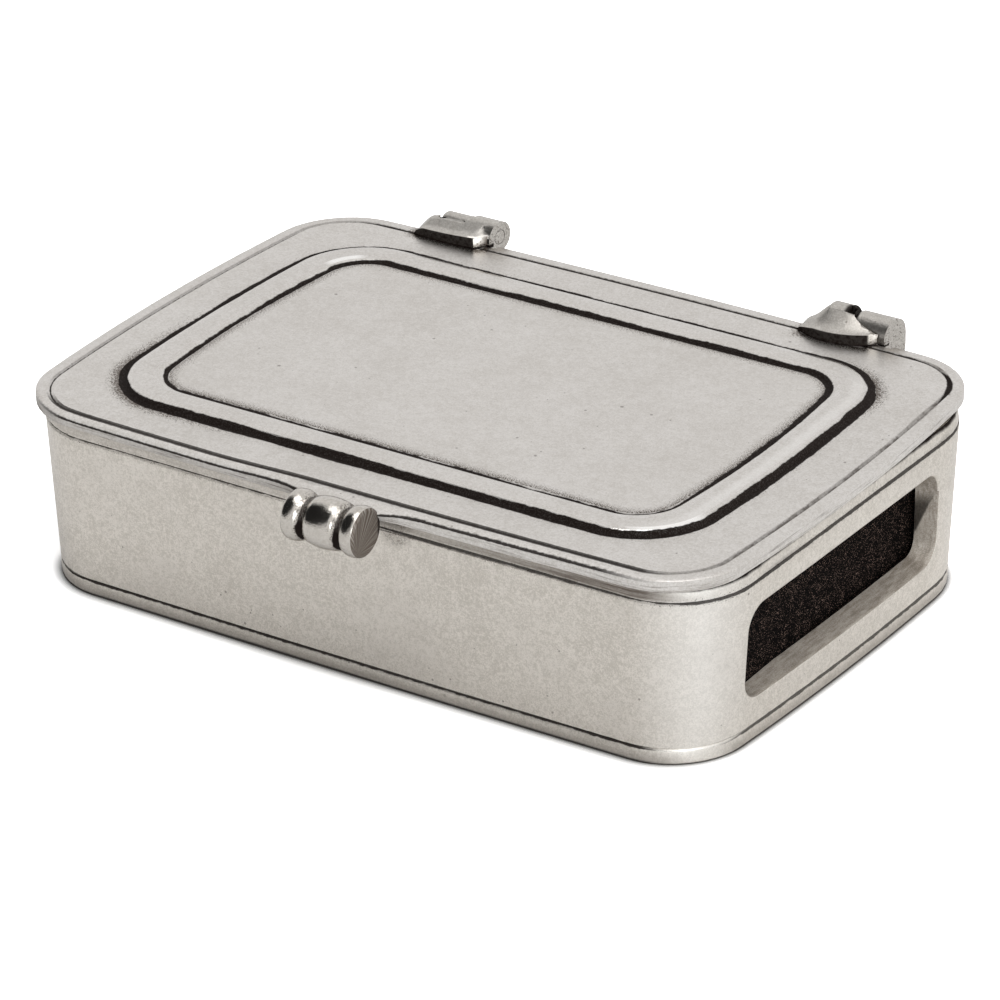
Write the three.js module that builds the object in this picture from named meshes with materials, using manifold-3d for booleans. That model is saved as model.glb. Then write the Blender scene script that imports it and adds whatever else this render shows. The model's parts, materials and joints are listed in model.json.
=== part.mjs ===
// A pewter table box for kitchen matches: a cast wall on a soldered base plate, a cast lid with a
// raised frame, two pinned hinges at the back, a grooved thumb-piece at the front, and a window in
// one end wall that shows a sheet of striking grit held in rails inside.
// Millimetres. +Z is up, +X points to the end with the window, -Y to the thumb-piece, +Y to the
// hinges. The origin is the middle of the underside.

import * as THREE from "three";
import { mergeVertices } from "three/addons/utils/BufferGeometryUtils.js";
import Module from "manifold-3d";

// Case
const CASE_LENGTH = 120; // at the seam over the base plate
const CASE_WIDTH = 80;
const CASE_CORNER = 11.2; // corner radius at that seam
const BACK_RIGHT_CORNER = 15; // one corner is rounder
const CASE_END_BOW = 1.8; // how far the closed end wall swells in its middle
const CASE_SIDE_BOW = 0.4; // the same for the front and back walls
const BASE_THICKNESS = 2.4;
const FOOT_EDGE = 0.6; // the base plate's lower edge is rounded this much
const SEAM_CHAMFER = 0.3; // on both sides of the seam over the base plate
const WALL_HEIGHT = 25.8; // from the base plate to the rim
const WALL_THICKNESS = 3;
const WALL_DRAFT = 1.05; // each wall leans out this much up to the engraved line
const RIM_HEIGHT = 2.1; // from the engraved line to the top of the rim
const RIM_TAPER = 0.45; // the rim draws in this much over the engraved line
const RIM_EDGE = 0.3; // its top edge is eased this much

// The end wall with the window is out of true: it stands out of square and swells less towards the rim.
const WINDOW_END_BOW = 1.35; // its swell at the seam
const WINDOW_END_BOW_ABOVE = 0.1; // and at the engraved line
const WINDOW_END_SLANT = 0.024; // how far it stands out for each millimetre towards the back, at the seam
const WINDOW_END_SLANT_ABOVE = 0.016; // and at the line
const WINDOW_END_BACK = 0.4; // it leans out this much less than the other walls

// Engraved lines
const LINE_WIDTH = 0.6;
const LINE_DEPTH = 0.4;

// Lid
const LID_GAP = 0.25; // between the rim and the underside of the lid
const LID_THICKNESS = 2;
const LID_CORNER = 11.1;
const LID_END_BOW = 2.3;
const LID_SIDE_BOW = 1.2;
const LID_END_OVERHANG = 0.75; // past the rim, at each end
const LID_SIDE_OVERHANG = 1.85; // past the rim, mean of front and back
const LID_FORWARD = 0.55; // the lid sits this much nearer the front
const LID_EDGE_ROUND = 0.35;
const SHOULDER_WIDTH = 1.1; // the rounded fall at the lid's upper edge
const SHOULDER_DROP = 0.21;
const MARGIN_LINE_WIDTH = 0.8; // engraved line on the lid's margin
const MARGIN_LAND = 0.9; // flat strip between the shoulder and that line
const TONGUE_REACH = 1.2; // the lid's upper edge flows this far out to the thumb-piece
const TONGUE_DROP = 0.4; // and down by this much
const TONGUE_FLARE = 6.5; // length over which it flows back to the straight edge
const TONGUE_SHARES = { low: 0.3, shoulder: 0.8, top: 0.4 }; // how far the levels beside it follow

// The front edge is worked by hand: left of the thumb-piece its arris lies lower and the engraved line
// strays towards it. Distances from the middle of the box to where this begins, is full, eases and ends.
const HAND_BEGIN = 4;
const HAND_FULL = 23;
const HAND_EASE = 45;
const HAND_END = 57;
const HAND_SAG = 0.45; // how much lower the arris lies there
const HAND_SHOULDER = 0.4; // share of that by which the shoulder follows
const HAND_STRAY = 0.9; // share of the flat strip that the line takes there

// Raised frame on the lid: a band with a groove on both sides, round a panel
const FRAME_LENGTH = 103.3; // over the outer groove
const FRAME_WIDTH = 66.7;
const FRAME_CORNER = 12.3;
const PANEL_CORNER = 5.6;
const BAND_WIDTH = 4.5;
const BAND_HEIGHT = 0.65; // of its edges over the margin
const BAND_CROWN = 0.15; // its top swells this much
const BAND_ARRIS = 0.5; // its edges are eased over this width
const BAND_ARRIS_ON = 0.6; // the share of that width on the band, the rest is over the groove
const OUTER_GROOVE_WIDTH = 1.5;
const INNER_GROOVE_WIDTH = 1.3;
const GROOVE_DEPTH = 0.3; // below the margin outside and below the panel inside
const GROOVE_BOTTOM = 0.6; // where its bottom lies, as a share of its width from the flat side
const PANEL_RISE = 0.38; // the panel lies this much over the margin
const FRAME_END_BOW = 1.7;
const FRAME_SHIFT_X = -0.45; // the frame lies this much nearer the closed end
const FRAME_SHIFT_Y = -0.65; // and nearer the front

// Window and striker
const WINDOW_LENGTH = 52.2;
const WINDOW_HEIGHT = 15;
const WINDOW_CORNER = 3.6;
const WINDOW_CENTRE_Y = -2.3;
const WINDOW_TAPER = 0.36; // the reveal draws in this much for each millimetre of depth
const WINDOW_EDGE = 0.35; // its outer edge is eased this much
const WINDOW_SILL = 4.5; // from the base plate to the sill
const STRIKER_SEAT = 4; // from the outside of the wall's middle to the flat seat of the strip
const STRIKER_OVERLAP = 2; // the strip reaches this far behind the window's edge
const STRIP_THICKNESS = 0.8;
const BACKING_THICKNESS = 1.2;
const RAIL_THICKNESS = 1;
const RAIL_LIP = 1.3; // how far a rail hooks behind the backing
const FIT_GAP = 0.3; // between loose neighbours
const SOLDER_GAP = 0.1; // the solder film under a soldered piece

// Hinges
const PIN_RADIUS = 1.1;
const PIN_CLEARANCE = 0.08;
const KNUCKLE_EDGE = 0.35; // the knuckles' ends are eased this much
const FILED_TILT = 8; // degrees by which a filed end face looks to the front
const AXIS_BEHIND = 1.05; // hinge axis behind the lid's back edge
const AXIS_ABOVE = 0.85; // hinge axis over the lid's top
const LEAF_RISE = 2.5; // height of a leaf's back over the lid
const LEAF_TIP_START = 0.005; // share of the tip's length at which the leaf begins, thin but not sharp
const LEAF_TIP_CURVE = 0.45; // power of the tip's rise, rounder when smaller
const LEAF_CLIMB_START = 1.45; // from the tip, over this stretch the leaf climbs to its knuckle's top
const LEAF_CLIMB_END = 4.85;
const LEAF_FRONT_TIP = 0.55; // height of its front face against its back, at the tip
const LEAF_FRONT_HEEL = 0.7; // and at the heel
const LEAF_SETBACK = 1.35; // its back edge before the axis, where no knuckle is near
const LEAF_CUT = 1.4; // length of the corner cut off at its heel
const LEAF_CUT_REACH = 0.5; // share of the reach that the cut leaves
const STRAP_LENGTH = 13; // down the back wall from the rim
const STRAP_FOOT = 1.5; // thickness at its lower end

// The hinges are cast and filed by hand, so each has its own sizes. All but the radii and the reach
// are places along X: the leaf runs from its tip to its heel, and the pin is driven in from one side.
const LEFT_HINGE = {
  tip: -41.7,
  heel: -29.1,
  reach: 4.75, // from the axis to the leaf's front edge
  belly: 0.08, // how much less it reaches at its tip, as a share
  tipLength: 1.7, // length over which its tip rises
  caseKnuckle: [-38.5, -33.5],
  caseRadius: 2.15,
  lidKnuckle: [-33.2, -27.8],
  lidRadius: 2.5,
  dip: 0.45, // how much lower the leaf lies beside its knuckle, as a share
  dipLength: 0.8, // length over which it drops
  pin: [-38.5, -27.8],
  drivenFrom: "right",
  filedEnd: -28.4,
};
const RIGHT_HINGE = {
  tip: 27.6,
  heel: 40.9,
  reach: 5.7,
  belly: 0.31,
  tipLength: 3.6,
  lidKnuckle: [31.4, 35.2],
  lidRadius: 3.05,
  dip: 1,
  dipLength: 4.4,
  caseKnuckle: [36.3, 42.9],
  caseRadius: 2.65,
  pin: [30.8, 40.8],
  drivenFrom: "left",
  filedEnd: 42.25,
};

// Thumb-piece
const THUMB_RADIUS = 3.8;
const THUMB_LENGTH = 12.6;
const THUMB_CENTRE_X = 2;
const THUMB_OUT = 3.7; // its axis in front of the lid's edge
const THUMB_GROOVE_PITCH = 6.2; // between the middles of its two grooves
const THUMB_GROOVE_WIDTH = 1.6;
const THUMB_GROOVE_DEPTH = 0.85;
const THUMB_GROOVE_FLOOR = 0.55; // share of a groove's width that is flat bottom
const THUMB_SWELL = 0.3; // each lobe is this much fuller in its middle
const THUMB_EDGE = 0.3; // its end edges are eased this much

// Levels and sizes that follow from the ones above
const SEAM_Z = BASE_THICKNESS;
const RIM_Z = SEAM_Z + WALL_HEIGHT;
const LINE_Z = RIM_Z - RIM_HEIGHT;
const LID_Z = RIM_Z + LID_GAP;
const LID_TOP = LID_Z + LID_THICKNESS;
const RIM_GROWTH = WALL_DRAFT - RIM_TAPER;
const LID_HALF_LENGTH = CASE_LENGTH / 2 + RIM_GROWTH + LID_END_OVERHANG;
const LID_HALF_WIDTH = CASE_WIDTH / 2 + RIM_GROWTH + LID_SIDE_OVERHANG;
const LID_BACK = LID_HALF_WIDTH - LID_FORWARD;
const LID_FRONT = -LID_HALF_WIDTH - LID_FORWARD;
const AXIS_Y = LID_BACK + AXIS_BEHIND;
const AXIS_Z = LID_TOP + AXIS_ABOVE;
const WINDOW_LOW = SEAM_Z + WINDOW_SILL;
const WINDOW_MIDDLE_Z = WINDOW_LOW + WINDOW_HEIGHT / 2;
const STRIP_LENGTH = WINDOW_LENGTH + 2 * STRIKER_OVERLAP;
const STRIP_HEIGHT = WINDOW_HEIGHT + 2 * STRIKER_OVERLAP;
const SEAT_X = CASE_LENGTH / 2 + WALL_DRAFT / 2 - STRIKER_SEAT;
const STRIP_X = SEAT_X - FIT_GAP;
const BACKING_X = STRIP_X - STRIP_THICKNESS;
const THUMB_Y = LID_FRONT - THUMB_OUT;
const THUMB_Z = LID_Z - FIT_GAP;
const HINGES = [LEFT_HINGE, RIGHT_HINGE];

const CORNER_STEPS = 10;
const SIDE_STEPS = 10;
const ROUND_STEPS = 40;
const LEAF_SECTIONS = 24;
const LEAF_STEPS = 6;
const LOBE_STEPS = 8;
const FOOT_STEPS = 3;

const PEWTER = { color: 0xb7b2aa, roughness: 0.42, metalness: 0.9 };
const POLISHED = { color: 0xc9c6c0, roughness: 0.2, metalness: 1 };
const STEEL = { color: 0x9a958c, roughness: 0.4, metalness: 1 };
const GRIT = { color: 0x17120f, roughness: 0.85, metalness: 0 };
const CARD = { color: 0x6b6259, roughness: 0.8, metalness: 0 };

const wasm = await Module();
wasm.setup();

// Solids and booleans

function solidOf(geometry) {
  const bare = geometry.index ? geometry.toNonIndexed() : geometry.clone();
  bare.deleteAttribute("normal");
  bare.deleteAttribute("uv");
  const merged = mergeVertices(bare, 1e-4);
  const mesh = new wasm.Mesh({
    numProp: 3,
    vertProperties: merged.attributes.position.array,
    triVerts: new Uint32Array(merged.index.array),
  });
  return new wasm.Manifold(mesh);
}

function geometryOf(solid) {
  const mesh = solid.getMesh();
  const geometry = new THREE.BufferGeometry();
  const points = new Float32Array(mesh.vertProperties);
  geometry.setAttribute("position", new THREE.BufferAttribute(points, 3));
  geometry.setIndex(new THREE.BufferAttribute(new Uint32Array(mesh.triVerts), 1));
  geometry.computeVertexNormals();
  return geometry;
}

// Outlines

// A rounded rectangle whose four sides swell gently towards their middles. The front side can have
// its own number of steps, gathered towards its middle, and the right end its own corner and set.
function outline(shape, inset = 0) {
  const { halfLength, halfWidth, corner, endBow = 0, sideBow = 0, x = 0, y = 0 } = shape;
  const { frontSteps = SIDE_STEPS, frontGather = 1, backRightCorner = corner } = shape;
  const { rightEnd = { bow: endBow, slant: 0, back: 0 } } = shape;
  const cornerPoint = (quarter, step) => {
    const signX = quarter === 0 || quarter === 3 ? 1 : -1;
    const signY = quarter < 2 ? 1 : -1;
    const radius = Math.max((quarter === 0 ? backRightCorner : corner) - inset, 0.5);
    const angle = ((quarter + step / CORNER_STEPS) * Math.PI) / 2;
    return new THREE.Vector2(
      signX * (halfLength - inset - radius) + radius * Math.cos(angle),
      signY * (halfWidth - inset - radius) + radius * Math.sin(angle),
    );
  };
  const points = [];
  for (let quarter = 0; quarter < 4; quarter += 1) {
    for (let step = 0; step <= CORNER_STEPS; step += 1) {
      points.push(cornerPoint(quarter, step));
    }
    const end = points[points.length - 1];
    const far = cornerPoint((quarter + 1) % 4, 0);
    const steps = quarter === 2 ? frontSteps : SIDE_STEPS;
    for (let step = 1; step < steps; step += 1) {
      const along = (2 * step) / steps - 1;
      const gathered = quarter === 2 ? Math.sign(along) * Math.abs(along) ** frontGather : along;
      points.push(end.clone().lerp(far, (1 + gathered) / 2));
    }
  }
  return points.map((point) => {
    const { bow, slant, back } = point.x > 0 ? rightEnd : { bow: endBow, slant: 0, back: 0 };
    const drawnIn = bow * (point.y / halfWidth) ** 2 - slant * point.y + back;
    const swellX = drawnIn * (point.x / halfLength);
    const swellY = sideBow * (point.x / halfLength) ** 2 * (point.y / halfWidth);
    return new THREE.Vector2(point.x - swellX + x, point.y - swellY + y);
  });
}

function atHeight(points, z) {
  return points.map((point) => new THREE.Vector3(point.x, point.y, z));
}

function between(first, second, share) {
  return first.map((point, i) => point.clone().lerp(second[i], share));
}

// A solid through sections with equal point counts, each anticlockwise as seen from the end that
// the loft runs to. A closed loft joins its last section to its first, as a wall does, and an open
// one is capped at both ends.
function loft(sections, closed = false) {
  const count = sections[0].length;
  const positions = sections.flat().flatMap((point) => [point.x, point.y, point.z]);
  const faces = [];
  const bands = closed ? sections.length : sections.length - 1;
  for (let band = 0; band < bands; band += 1) {
    const low = band * count;
    const high = ((band + 1) % sections.length) * count;
    for (let i = 0; i < count; i += 1) {
      const next = (i + 1) % count;
      faces.push(low + i, low + next, high + next, low + i, high + next, high + i);
    }
  }
  if (!closed) {
    addCap(positions, faces, sections[0], 0, true);
    addCap(positions, faces, sections[sections.length - 1], (sections.length - 1) * count, false);
  }
  const geometry = new THREE.BufferGeometry();
  geometry.setAttribute("position", new THREE.Float32BufferAttribute(positions, 3));
  geometry.setIndex(faces);
  return geometry;
}

function addCap(positions, faces, section, first, facesBack) {
  const centre = positions.length / 3;
  const middle = section.reduce((sum, point) => sum.add(point), new THREE.Vector3());
  middle.divideScalar(section.length);
  positions.push(middle.x, middle.y, middle.z);
  section.forEach((point, i) => {
    const here = first + i;
    const next = first + ((i + 1) % section.length);
    if (facesBack) {
      faces.push(centre, next, here);
    } else {
      faces.push(centre, here, next);
    }
  });
}

// A profile drawn as (y, z) points and run along X from x0 to x1.
function alongX(profile, x0, x1) {
  const shape = new THREE.Shape(profile.map(([y, z]) => new THREE.Vector2(y, z)));
  const geometry = new THREE.ExtrudeGeometry(shape, { depth: x1 - x0, bevelEnabled: false });
  geometry.applyMatrix4(
    new THREE.Matrix4().makeBasis(
      new THREE.Vector3(0, 1, 0),
      new THREE.Vector3(0, 0, 1),
      new THREE.Vector3(1, 0, 0),
    ),
  );
  geometry.translate(x0, 0, 0);
  return geometry;
}

function roundBar(radius, x0, x1) {
  const geometry = new THREE.CylinderGeometry(radius, radius, x1 - x0, ROUND_STEPS);
  geometry.rotateZ(Math.PI / 2);
  geometry.translate((x0 + x1) / 2, AXIS_Y, AXIS_Z);
  return geometry;
}

function block(x0, x1, y0, y1, z0, z1) {
  const geometry = new THREE.BoxGeometry(x1 - x0, y1 - y0, z1 - z0);
  geometry.translate((x0 + x1) / 2, (y0 + y1) / 2, (z0 + z1) / 2);
  return geometry;
}

// Case

// The case's outline, with the set that the end wall with the window has at a height.
function casePlan(z) {
  const share = (z - SEAM_Z) / (LINE_Z - SEAM_Z);
  const mix = THREE.MathUtils.lerp;
  return {
    halfLength: CASE_LENGTH / 2,
    halfWidth: CASE_WIDTH / 2,
    corner: CASE_CORNER,
    backRightCorner: BACK_RIGHT_CORNER,
    endBow: CASE_END_BOW,
    sideBow: CASE_SIDE_BOW,
    rightEnd: {
      bow: mix(WINDOW_END_BOW, WINDOW_END_BOW_ABOVE, share),
      slant: mix(WINDOW_END_SLANT, WINDOW_END_SLANT_ABOVE, share),
      back: mix(0, WINDOW_END_BACK, share),
    },
  };
}

// How far the wall stands outside the seam's outline at a height.
function wallGrowth(z) {
  if (z <= LINE_Z) {
    return (WALL_DRAFT * (z - SEAM_Z)) / (LINE_Z - SEAM_Z);
  }
  return WALL_DRAFT - (RIM_TAPER * (z - LINE_Z)) / (RIM_Z - LINE_Z);
}

function wallLevel(z, depth = 0) {
  return atHeight(outline(casePlan(z), depth - wallGrowth(z)), z);
}

// The wall is one loft closed on itself: up the outside, over the rim and down the inside.
function caseRing() {
  const half = LINE_WIDTH / 2;
  return loft(
    [
      wallLevel(SEAM_Z, SEAM_CHAMFER),
      wallLevel(SEAM_Z + SEAM_CHAMFER),
      wallLevel(LINE_Z - half),
      wallLevel(LINE_Z, LINE_DEPTH),
      wallLevel(LINE_Z + half),
      wallLevel(RIM_Z - RIM_EDGE),
      wallLevel(RIM_Z, RIM_EDGE),
      wallLevel(RIM_Z, WALL_THICKNESS),
      wallLevel(SEAM_Z, WALL_THICKNESS),
    ],
    true,
  );
}

// Where the outside of the end wall lies, between its corners.
function endWallX(y, z) {
  const { halfLength, halfWidth, rightEnd } = casePlan(z);
  const drawnIn = rightEnd.bow * (y / halfWidth) ** 2 - rightEnd.slant * y + rightEnd.back;
  return (halfLength + wallGrowth(z)) * (1 - drawnIn / halfLength);
}

// The window draws in with depth, and its outer edge is eased all round.
function windowHole() {
  const shape = { halfLength: WINDOW_LENGTH / 2, halfWidth: WINDOW_HEIGHT / 2, corner: WINDOW_CORNER };
  const section = (depth, inset) =>
    outline(shape, inset).map((point) => {
      const y = point.x + WINDOW_CENTRE_Y;
      const z = point.y + WINDOW_MIDDLE_Z;
      return new THREE.Vector3(endWallX(y, z) - depth, y, z);
    });
  const deep = STRIKER_SEAT + WINDOW_END_BOW;
  return loft([
    section(deep, WINDOW_TAPER * deep),
    section(WINDOW_EDGE, 0),
    section(WINDOW_EDGE / 3, -WINDOW_EDGE / 3),
    section(0, -WINDOW_EDGE),
    section(-WALL_THICKNESS, -WINDOW_EDGE - 2 * WALL_THICKNESS),
  ]);
}

// The flat seat that the strip lies against, cut from the swelling inside of the end wall.
function strikerSeat() {
  const halfLength = STRIP_LENGTH / 2 + FIT_GAP;
  const below = WINDOW_LOW - STRIKER_OVERLAP - RAIL_THICKNESS - 2 * FIT_GAP;
  const above = WINDOW_LOW + WINDOW_HEIGHT + STRIKER_OVERLAP + RAIL_THICKNESS + 2 * FIT_GAP;
  return block(
    SEAT_X - 2 * WALL_THICKNESS,
    SEAT_X,
    WINDOW_CENTRE_Y - halfLength,
    WINDOW_CENTRE_Y + halfLength,
    below,
    above,
  );
}

function caseWall() {
  return geometryOf(
    solidOf(caseRing()).subtract(solidOf(windowHole())).subtract(solidOf(strikerSeat())),
  );
}

function basePlate() {
  const level = (z, inset) => atHeight(outline(casePlan(SEAM_Z), inset), z);
  const foot = [];
  for (let step = 0; step <= FOOT_STEPS; step += 1) {
    const angle = ((step / FOOT_STEPS) * Math.PI) / 2;
    foot.push(level(FOOT_EDGE * (1 - Math.cos(angle)), FOOT_EDGE * (1 - Math.sin(angle))));
  }
  return loft([...foot, level(SEAM_Z - SEAM_CHAMFER, 0), level(SEAM_Z, SEAM_CHAMFER)]);
}

// Lid

// The front side has more steps, close together at the thumb-piece.
const lidSteps = { frontSteps: 22, frontGather: 1.8 };

const lidPlan = {
  halfLength: LID_HALF_LENGTH,
  halfWidth: LID_HALF_WIDTH,
  corner: LID_CORNER,
  endBow: LID_END_BOW,
  sideBow: LID_SIDE_BOW,
  y: -LID_FORWARD,
  ...lidSteps,
};

const framePlan = {
  halfLength: FRAME_LENGTH / 2,
  halfWidth: FRAME_WIDTH / 2,
  corner: FRAME_CORNER,
  endBow: FRAME_END_BOW,
  x: FRAME_SHIFT_X,
  y: FRAME_SHIFT_Y,
  ...lidSteps,
};

const FRAME_BORDER = OUTER_GROOVE_WIDTH + BAND_WIDTH + INNER_GROOVE_WIDTH;

const panelPlan = {
  ...framePlan,
  halfLength: FRAME_LENGTH / 2 - FRAME_BORDER,
  halfWidth: FRAME_WIDTH / 2 - FRAME_BORDER,
  corner: PANEL_CORNER,
};

// How far a place on the lid's rings shows the hand work along the front, from 0 to 1.
function handWork(x, y) {
  const { smoothstep } = THREE.MathUtils;
  const front = y < -LID_HALF_WIDTH / 2 ? 1 : 0;
  return front * smoothstep(-x, HAND_BEGIN, HAND_FULL) * (1 - smoothstep(-x, HAND_EASE, HAND_END));
}

// A level of the lid's edge. At the thumb-piece it flows forwards and down, by a share of the
// tongue's full reach, and where it is worked by hand it sags by a share of that.
function lidLevel(z, inset, tongue = 0, sag = 0) {
  return outline(lidPlan, inset).map(({ x, y }) => {
    const past = (Math.abs(x - THUMB_CENTRE_X) - THUMB_LENGTH / 2) / TONGUE_FLARE;
    const front = y < -LID_HALF_WIDTH / 2 ? 1 : 0;
    const share = front * tongue * (1 - THREE.MathUtils.clamp(past, 0, 1)) ** 2;
    const lower = share * TONGUE_DROP + sag * HAND_SAG * handWork(x, y);
    return new THREE.Vector3(x, y - share * TONGUE_REACH, z - lower);
  });
}

// A ring of the engraved margin line, offset inwards from the line's outer edge.
function marginLine(z, offset) {
  return lidLevel(z, SHOULDER_WIDTH + MARGIN_LAND + offset).map((point) => {
    point.y -= HAND_STRAY * MARGIN_LAND * handWork(point.x, point.y);
    return point;
  });
}

// The lid's edge from its underside to the start of its level top, grown by a clearance.
function lidEdge(clearance = 0) {
  const { low, shoulder, top } = TONGUE_SHARES;
  const shoulderZ = LID_TOP - SHOULDER_DROP / 3;
  return [
    lidLevel(LID_Z - clearance, LID_EDGE_ROUND - clearance),
    lidLevel(LID_Z + LID_EDGE_ROUND, -clearance, low),
    lidLevel(LID_TOP - SHOULDER_DROP, -clearance, 1, 1),
    lidLevel(shoulderZ + clearance, SHOULDER_WIDTH / 3 - clearance, shoulder, HAND_SHOULDER),
    lidLevel(LID_TOP + clearance, SHOULDER_WIDTH - clearance, top),
  ];
}

// From the underside round the edge, over the engraved line, the grooves and the band to the panel.
function lidBody() {
  const outer = (height, inset) => atHeight(outline(framePlan, inset), LID_TOP + height);
  const inner = (height, offset) => atHeight(outline(panelPlan, -offset), LID_TOP + height);
  const easedHeight = BAND_HEIGHT - BAND_ARRIS / 2;
  const crown = (share) => {
    const height = BAND_HEIGHT + BAND_CROWN * (1 - (2 * share - 1) ** 2);
    return between(
      outer(height, OUTER_GROOVE_WIDTH + BAND_ARRIS * BAND_ARRIS_ON),
      inner(height, INNER_GROOVE_WIDTH + BAND_ARRIS * BAND_ARRIS_ON),
      share,
    );
  };
  return loft([
    ...lidEdge(),
    marginLine(LID_TOP, 0),
    marginLine(LID_TOP - LINE_DEPTH, MARGIN_LINE_WIDTH / 2),
    marginLine(LID_TOP, MARGIN_LINE_WIDTH),
    outer(0, 0),
    outer(-GROOVE_DEPTH, OUTER_GROOVE_WIDTH * GROOVE_BOTTOM),
    outer(easedHeight, OUTER_GROOVE_WIDTH - BAND_ARRIS * (1 - BAND_ARRIS_ON)),
    crown(0),
    crown(0.25),
    crown(0.5),
    crown(0.75),
    crown(1),
    inner(easedHeight, INNER_GROOVE_WIDTH - BAND_ARRIS * (1 - BAND_ARRIS_ON)),
    inner(PANEL_RISE - GROOVE_DEPTH, INNER_GROOVE_WIDTH * GROOVE_BOTTOM),
    inner(PANEL_RISE, 0),
  ]);
}

// Room for a knuckle of a given radius to turn in.
function turningRoom([x0, x1], radius) {
  return solidOf(roundBar(radius + FIT_GAP, x0 - FIT_GAP, x1 + FIT_GAP));
}

// The lid's back edge is hollowed for the knuckles.
function lid() {
  let solid = solidOf(lidBody());
  for (const { lidKnuckle, lidRadius, caseKnuckle, caseRadius } of HINGES) {
    solid = solid.subtract(turningRoom(lidKnuckle, lidRadius));
    solid = solid.subtract(turningRoom(caseKnuckle, caseRadius));
  }
  return geometryOf(solid);
}

// Hinges

// A solid of revolution about a line along X, from a profile of (radius, distance along X).
function turned(profile, y, z) {
  const points = profile.map(([radius, along]) => new THREE.Vector2(radius, along));
  const geometry = new THREE.LatheGeometry(points, ROUND_STEPS);
  geometry.rotateZ(-Math.PI / 2);
  geometry.translate(0, y, z);
  return geometry;
}

function knuckle([x0, x1], radius) {
  const eased = radius - KNUCKLE_EDGE;
  const profile = [
    [0, x0],
    [eased, x0],
    [radius - KNUCKLE_EDGE / 3, x0 + KNUCKLE_EDGE / 3],
    [radius, x0 + KNUCKLE_EDGE],
    [radius, x1 - KNUCKLE_EDGE],
    [radius - KNUCKLE_EDGE / 3, x1 - KNUCKLE_EDGE / 3],
    [eased, x1],
    [0, x1],
  ];
  return solidOf(turned(profile, AXIS_Y, AXIS_Z));
}

// The pin's bore is open on the side that the pin is driven in from, and closed at the other.
function pinBore({ pin, drivenFrom }) {
  const x0 = pin[0] - (drivenFrom === "left" ? STRAP_LENGTH : FIT_GAP);
  const x1 = pin[1] + (drivenFrom === "right" ? STRAP_LENGTH : FIT_GAP);
  return solidOf(roundBar(PIN_RADIUS + PIN_CLEARANCE, x0, x1));
}

// What the file takes off the right-hand end of a hinge, a little out of square.
function filedAway({ filedEnd }) {
  const size = 4 * STRAP_LENGTH;
  const geometry = new THREE.BoxGeometry(size, size, size);
  geometry.translate(size / 2, 0, 0);
  geometry.rotateZ(THREE.MathUtils.degToRad(-FILED_TILT));
  geometry.translate(filedEnd, AXIS_Y, AXIS_Z);
  return solidOf(geometry);
}

// A section of a leaf across X: flat underneath, thin in front, and rising behind to the back edge
// and, where a knuckle is near, to the top of it.
function leafSection(hinge, x, reachShare) {
  const { tip, heel, reach, tipLength, lidRadius, lidKnuckle, dip, dipLength } = hinge;
  const { clamp, lerp, smoothstep } = THREE.MathUtils;
  const share = (x - tip) / (heel - tip);
  const grown = clamp((x - tip) / tipLength, LEAF_TIP_START, 1);
  const beside = Math.max(lidKnuckle[0] - x, x - lidKnuckle[1], 0);
  const risen = smoothstep(x, tip + LEAF_CLIMB_START, tip + LEAF_CLIMB_END);
  const toKnuckle = risen * (1 - dip * smoothstep(beside, 0, dipLength));
  const backHeight = LEAF_RISE * grown ** LEAF_TIP_CURVE;
  const frontHeight = backHeight * lerp(LEAF_FRONT_TIP, LEAF_FRONT_HEEL, share);
  const topHeight = lerp(backHeight, AXIS_ABOVE + lidRadius, toKnuckle);
  const front = AXIS_Y - reach * reachShare;
  const back = AXIS_Y - LEAF_SETBACK * (1 - toKnuckle);
  const points = [
    [front, 0],
    [back, 0],
  ];
  for (let step = 0; step <= LEAF_STEPS; step += 1) {
    const rise = 1 - step / LEAF_STEPS;
    const y = lerp(front, back, rise);
    points.push([y, lerp(frontHeight, topHeight, smoothstep(rise, 0, 1))]);
  }
  return points.map(([y, height]) => new THREE.Vector3(x, y, LID_TOP + height));
}

// The leaf runs from a thin tip at the left to a corner cut off at the right.
function leaf(hinge) {
  const { tip, heel } = hinge;
  const cut = heel - LEAF_CUT;
  const sections = [];
  for (let step = 0; step <= LEAF_SECTIONS; step += 1) {
    const share = step / LEAF_SECTIONS;
    const reach = 1 - hinge.belly * (2 * share - 1) ** 2;
    sections.push(leafSection(hinge, THREE.MathUtils.lerp(tip, cut, share), reach));
  }
  sections.push(leafSection(hinge, heel, LEAF_CUT_REACH));
  return solidOf(loft(sections));
}

function lidHinge(hinge) {
  return geometryOf(
    leaf(hinge)
      .add(knuckle(hinge.lidKnuckle, hinge.lidRadius))
      .subtract(turningRoom(hinge.caseKnuckle, hinge.caseRadius))
      .subtract(pinBore(hinge))
      .subtract(filedAway(hinge)),
  );
}

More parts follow.
